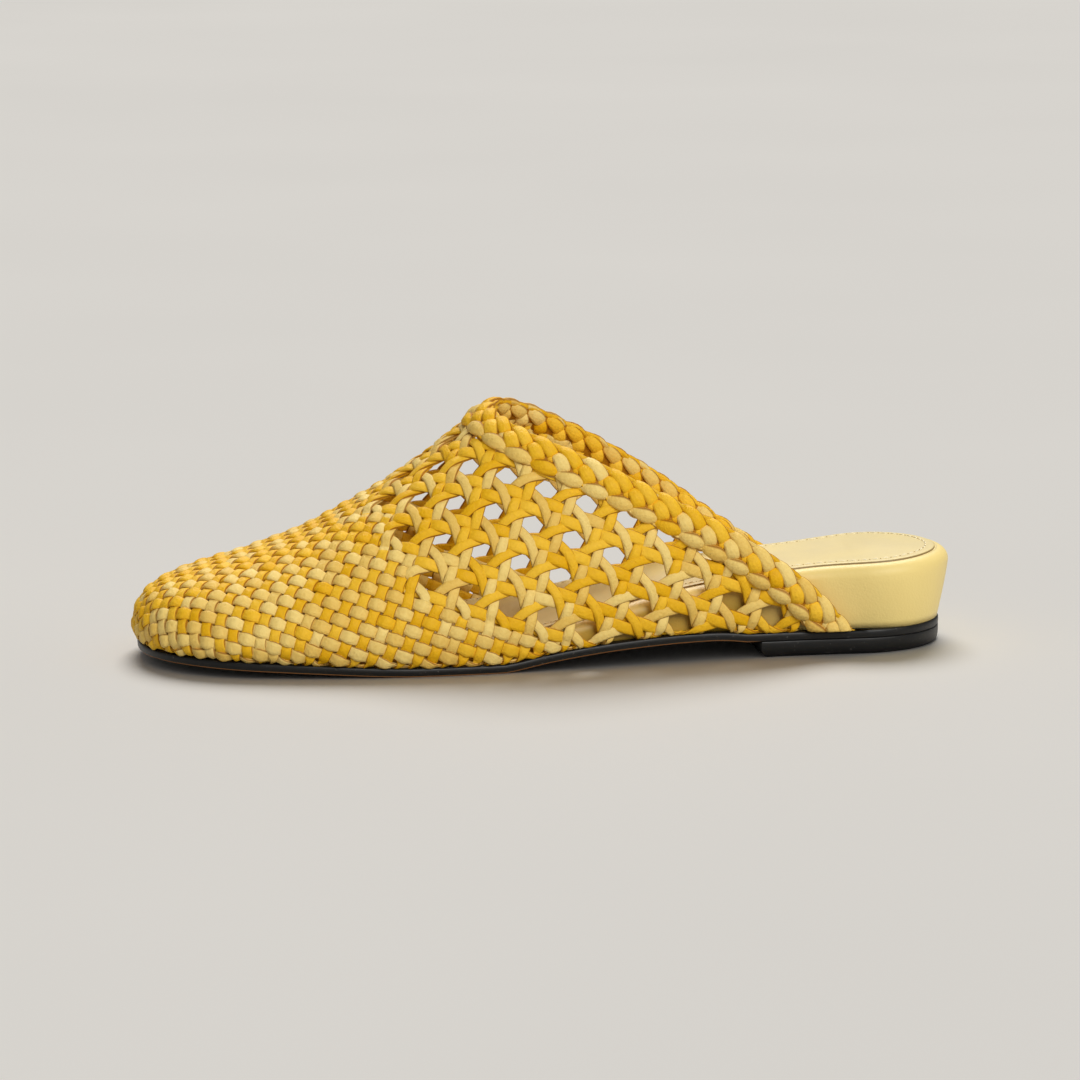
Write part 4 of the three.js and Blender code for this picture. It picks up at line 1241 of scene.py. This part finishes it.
class MULE_OT_stage(bpy.types.Operator):
    """Sets the pale floor, the soft studio light and the camera at the photograph's angle"""

    bl_idname = "mule.stage"
    bl_label = "Set the studio"

    def execute(self, context):
        scene = context.scene
        self.light_studio(scene, self.lay_floor(scene))
        self.place_camera(scene)
        scene.view_settings.view_transform = "Standard"
        return {"FINISHED"}

    def lay_floor(self, scene):
        """A level sheet in metre squares, a hair under the sole so that no two faces coincide."""
        hair = 0.02
        x, y = np.meshgrid(np.linspace(-6, 6, 13), np.linspace(-4, 8, 13), indexing="ij")
        points = np.stack([x / MM + HEEL_CENTRE, y / MM, np.full(x.shape, -hair)], -1)
        index = np.arange(x.size).reshape(x.shape)
        quads = np.stack([index[:-1, :-1], index[1:, :-1], index[1:, 1:], index[:-1, 1:]], -1).reshape(-1, 4)
        floor = add_mesh("studio_floor", points, [{"faces": quads}])
        colour = tuple(scene.mule_colours.floor)
        floor.data.materials.append(plain_material("studio_floor", colour, 0.9, 3.0))
        return floor

    def light_studio(self, scene, floor):
        """A dim even sky and two broad lights. The fill light leaves the floor out, so that the shadow
        under the shoe stays dark."""
        scene.world = bpy.data.worlds.new("studio_world")
        scene.world.use_nodes = True
        sky = scene.world.node_tree.nodes["Background"]
        sky.inputs["Color"].default_value = (1.0, 0.995, 0.985, 1)
        sky.inputs["Strength"].default_value = 0.19
        left_dark = bpy.data.collections.new("left_dark_by_fill")
        left_dark.objects.link(floor)
        left_dark.collection_objects[0].light_linking.link_state = "EXCLUDE"
        lights = (
            ("key_light", 2.2, 34, (-38, 8), None),
            ("fill_light", 2.2, 40, (46, 28), left_dark),
        )
        for name, energy, spread, lean, receivers in lights:
            sun = bpy.data.lights.new(name, "SUN")
            sun.energy = energy
            sun.angle = math.radians(spread)
            sun.color = (1.0, 0.985, 0.96)
            lamp = bpy.data.objects.new(name, sun)
            lamp.rotation_euler = (math.radians(lean[0]), math.radians(lean[1]), 0)
            lamp.light_linking.receiver_collection = receivers
            scene.collection.objects.link(lamp)

    def place_camera(self, scene):
        """A long lens that looks at the shoe's middle from the outer side, a little from above."""
        data = bpy.data.cameras.new("photo_camera")
        data.lens = 174.1
        data.sensor_width = 36
        data.clip_end = 50
        camera = bpy.data.objects.new("photo_camera", data)
        scene.collection.objects.link(camera)
        azimuth, elevation, distance = math.radians(-9), math.radians(10), 1.6
        target = np.array([-0.0945, 0, 0.033])
        back = np.array([
            math.sin(azimuth) * math.cos(elevation),
            -math.cos(azimuth) * math.cos(elevation),
            math.sin(elevation),
        ])
        camera.location = target + distance * back
        camera.rotation_euler = (math.pi / 2 - elevation, 0, azimuth)
        scene.camera = camera


class MULE_PT_panel(bpy.types.Panel):
    """The mule's pieces in the sidebar"""

    bl_idname = "MULE_PT_panel"
    bl_label = "Woven mule"
    bl_space_type = "VIEW_3D"
    bl_region_type = "UI"
    bl_category = "Mule"

    def draw(self, context):
        layout = self.layout
        for group in (context.scene.mule_weave, context.scene.mule_plait, context.scene.mule_colours):
            for key in group.__annotations__:
                layout.prop(group, key)
        for operator in OPERATORS:
            layout.operator(operator.bl_idname)


OPERATORS = (MULE_OT_sole, MULE_OT_footbed, MULE_OT_vamp, MULE_OT_collar, MULE_OT_stage)
CLASSES = (MuleWeaveSizes, MulePlaitSizes, MuleColours, *OPERATORS, MULE_PT_panel)


def register():
    """Registers the classes and hangs the settings on the scene."""
    for cls in CLASSES:
        bpy.utils.register_class(cls)
    bpy.types.Scene.mule_weave = bpy.props.PointerProperty(type=MuleWeaveSizes)
    bpy.types.Scene.mule_plait = bpy.props.PointerProperty(type=MulePlaitSizes)
    bpy.types.Scene.mule_colours = bpy.props.PointerProperty(type=MuleColours)


def unregister():
    """Takes the settings and classes away again."""
    del bpy.types.Scene.mule_colours
    del bpy.types.Scene.mule_plait
    del bpy.types.Scene.mule_weave
    for cls in reversed(CLASSES):
        bpy.utils.unregister_class(cls)


def main():
    """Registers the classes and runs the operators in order."""
    register()
    bpy.ops.mule.sole()
    bpy.ops.mule.footbed()
    bpy.ops.mule.vamp()
    bpy.ops.mule.collar()
    bpy.ops.mule.stage()


if __name__ == "__main__":
    main()
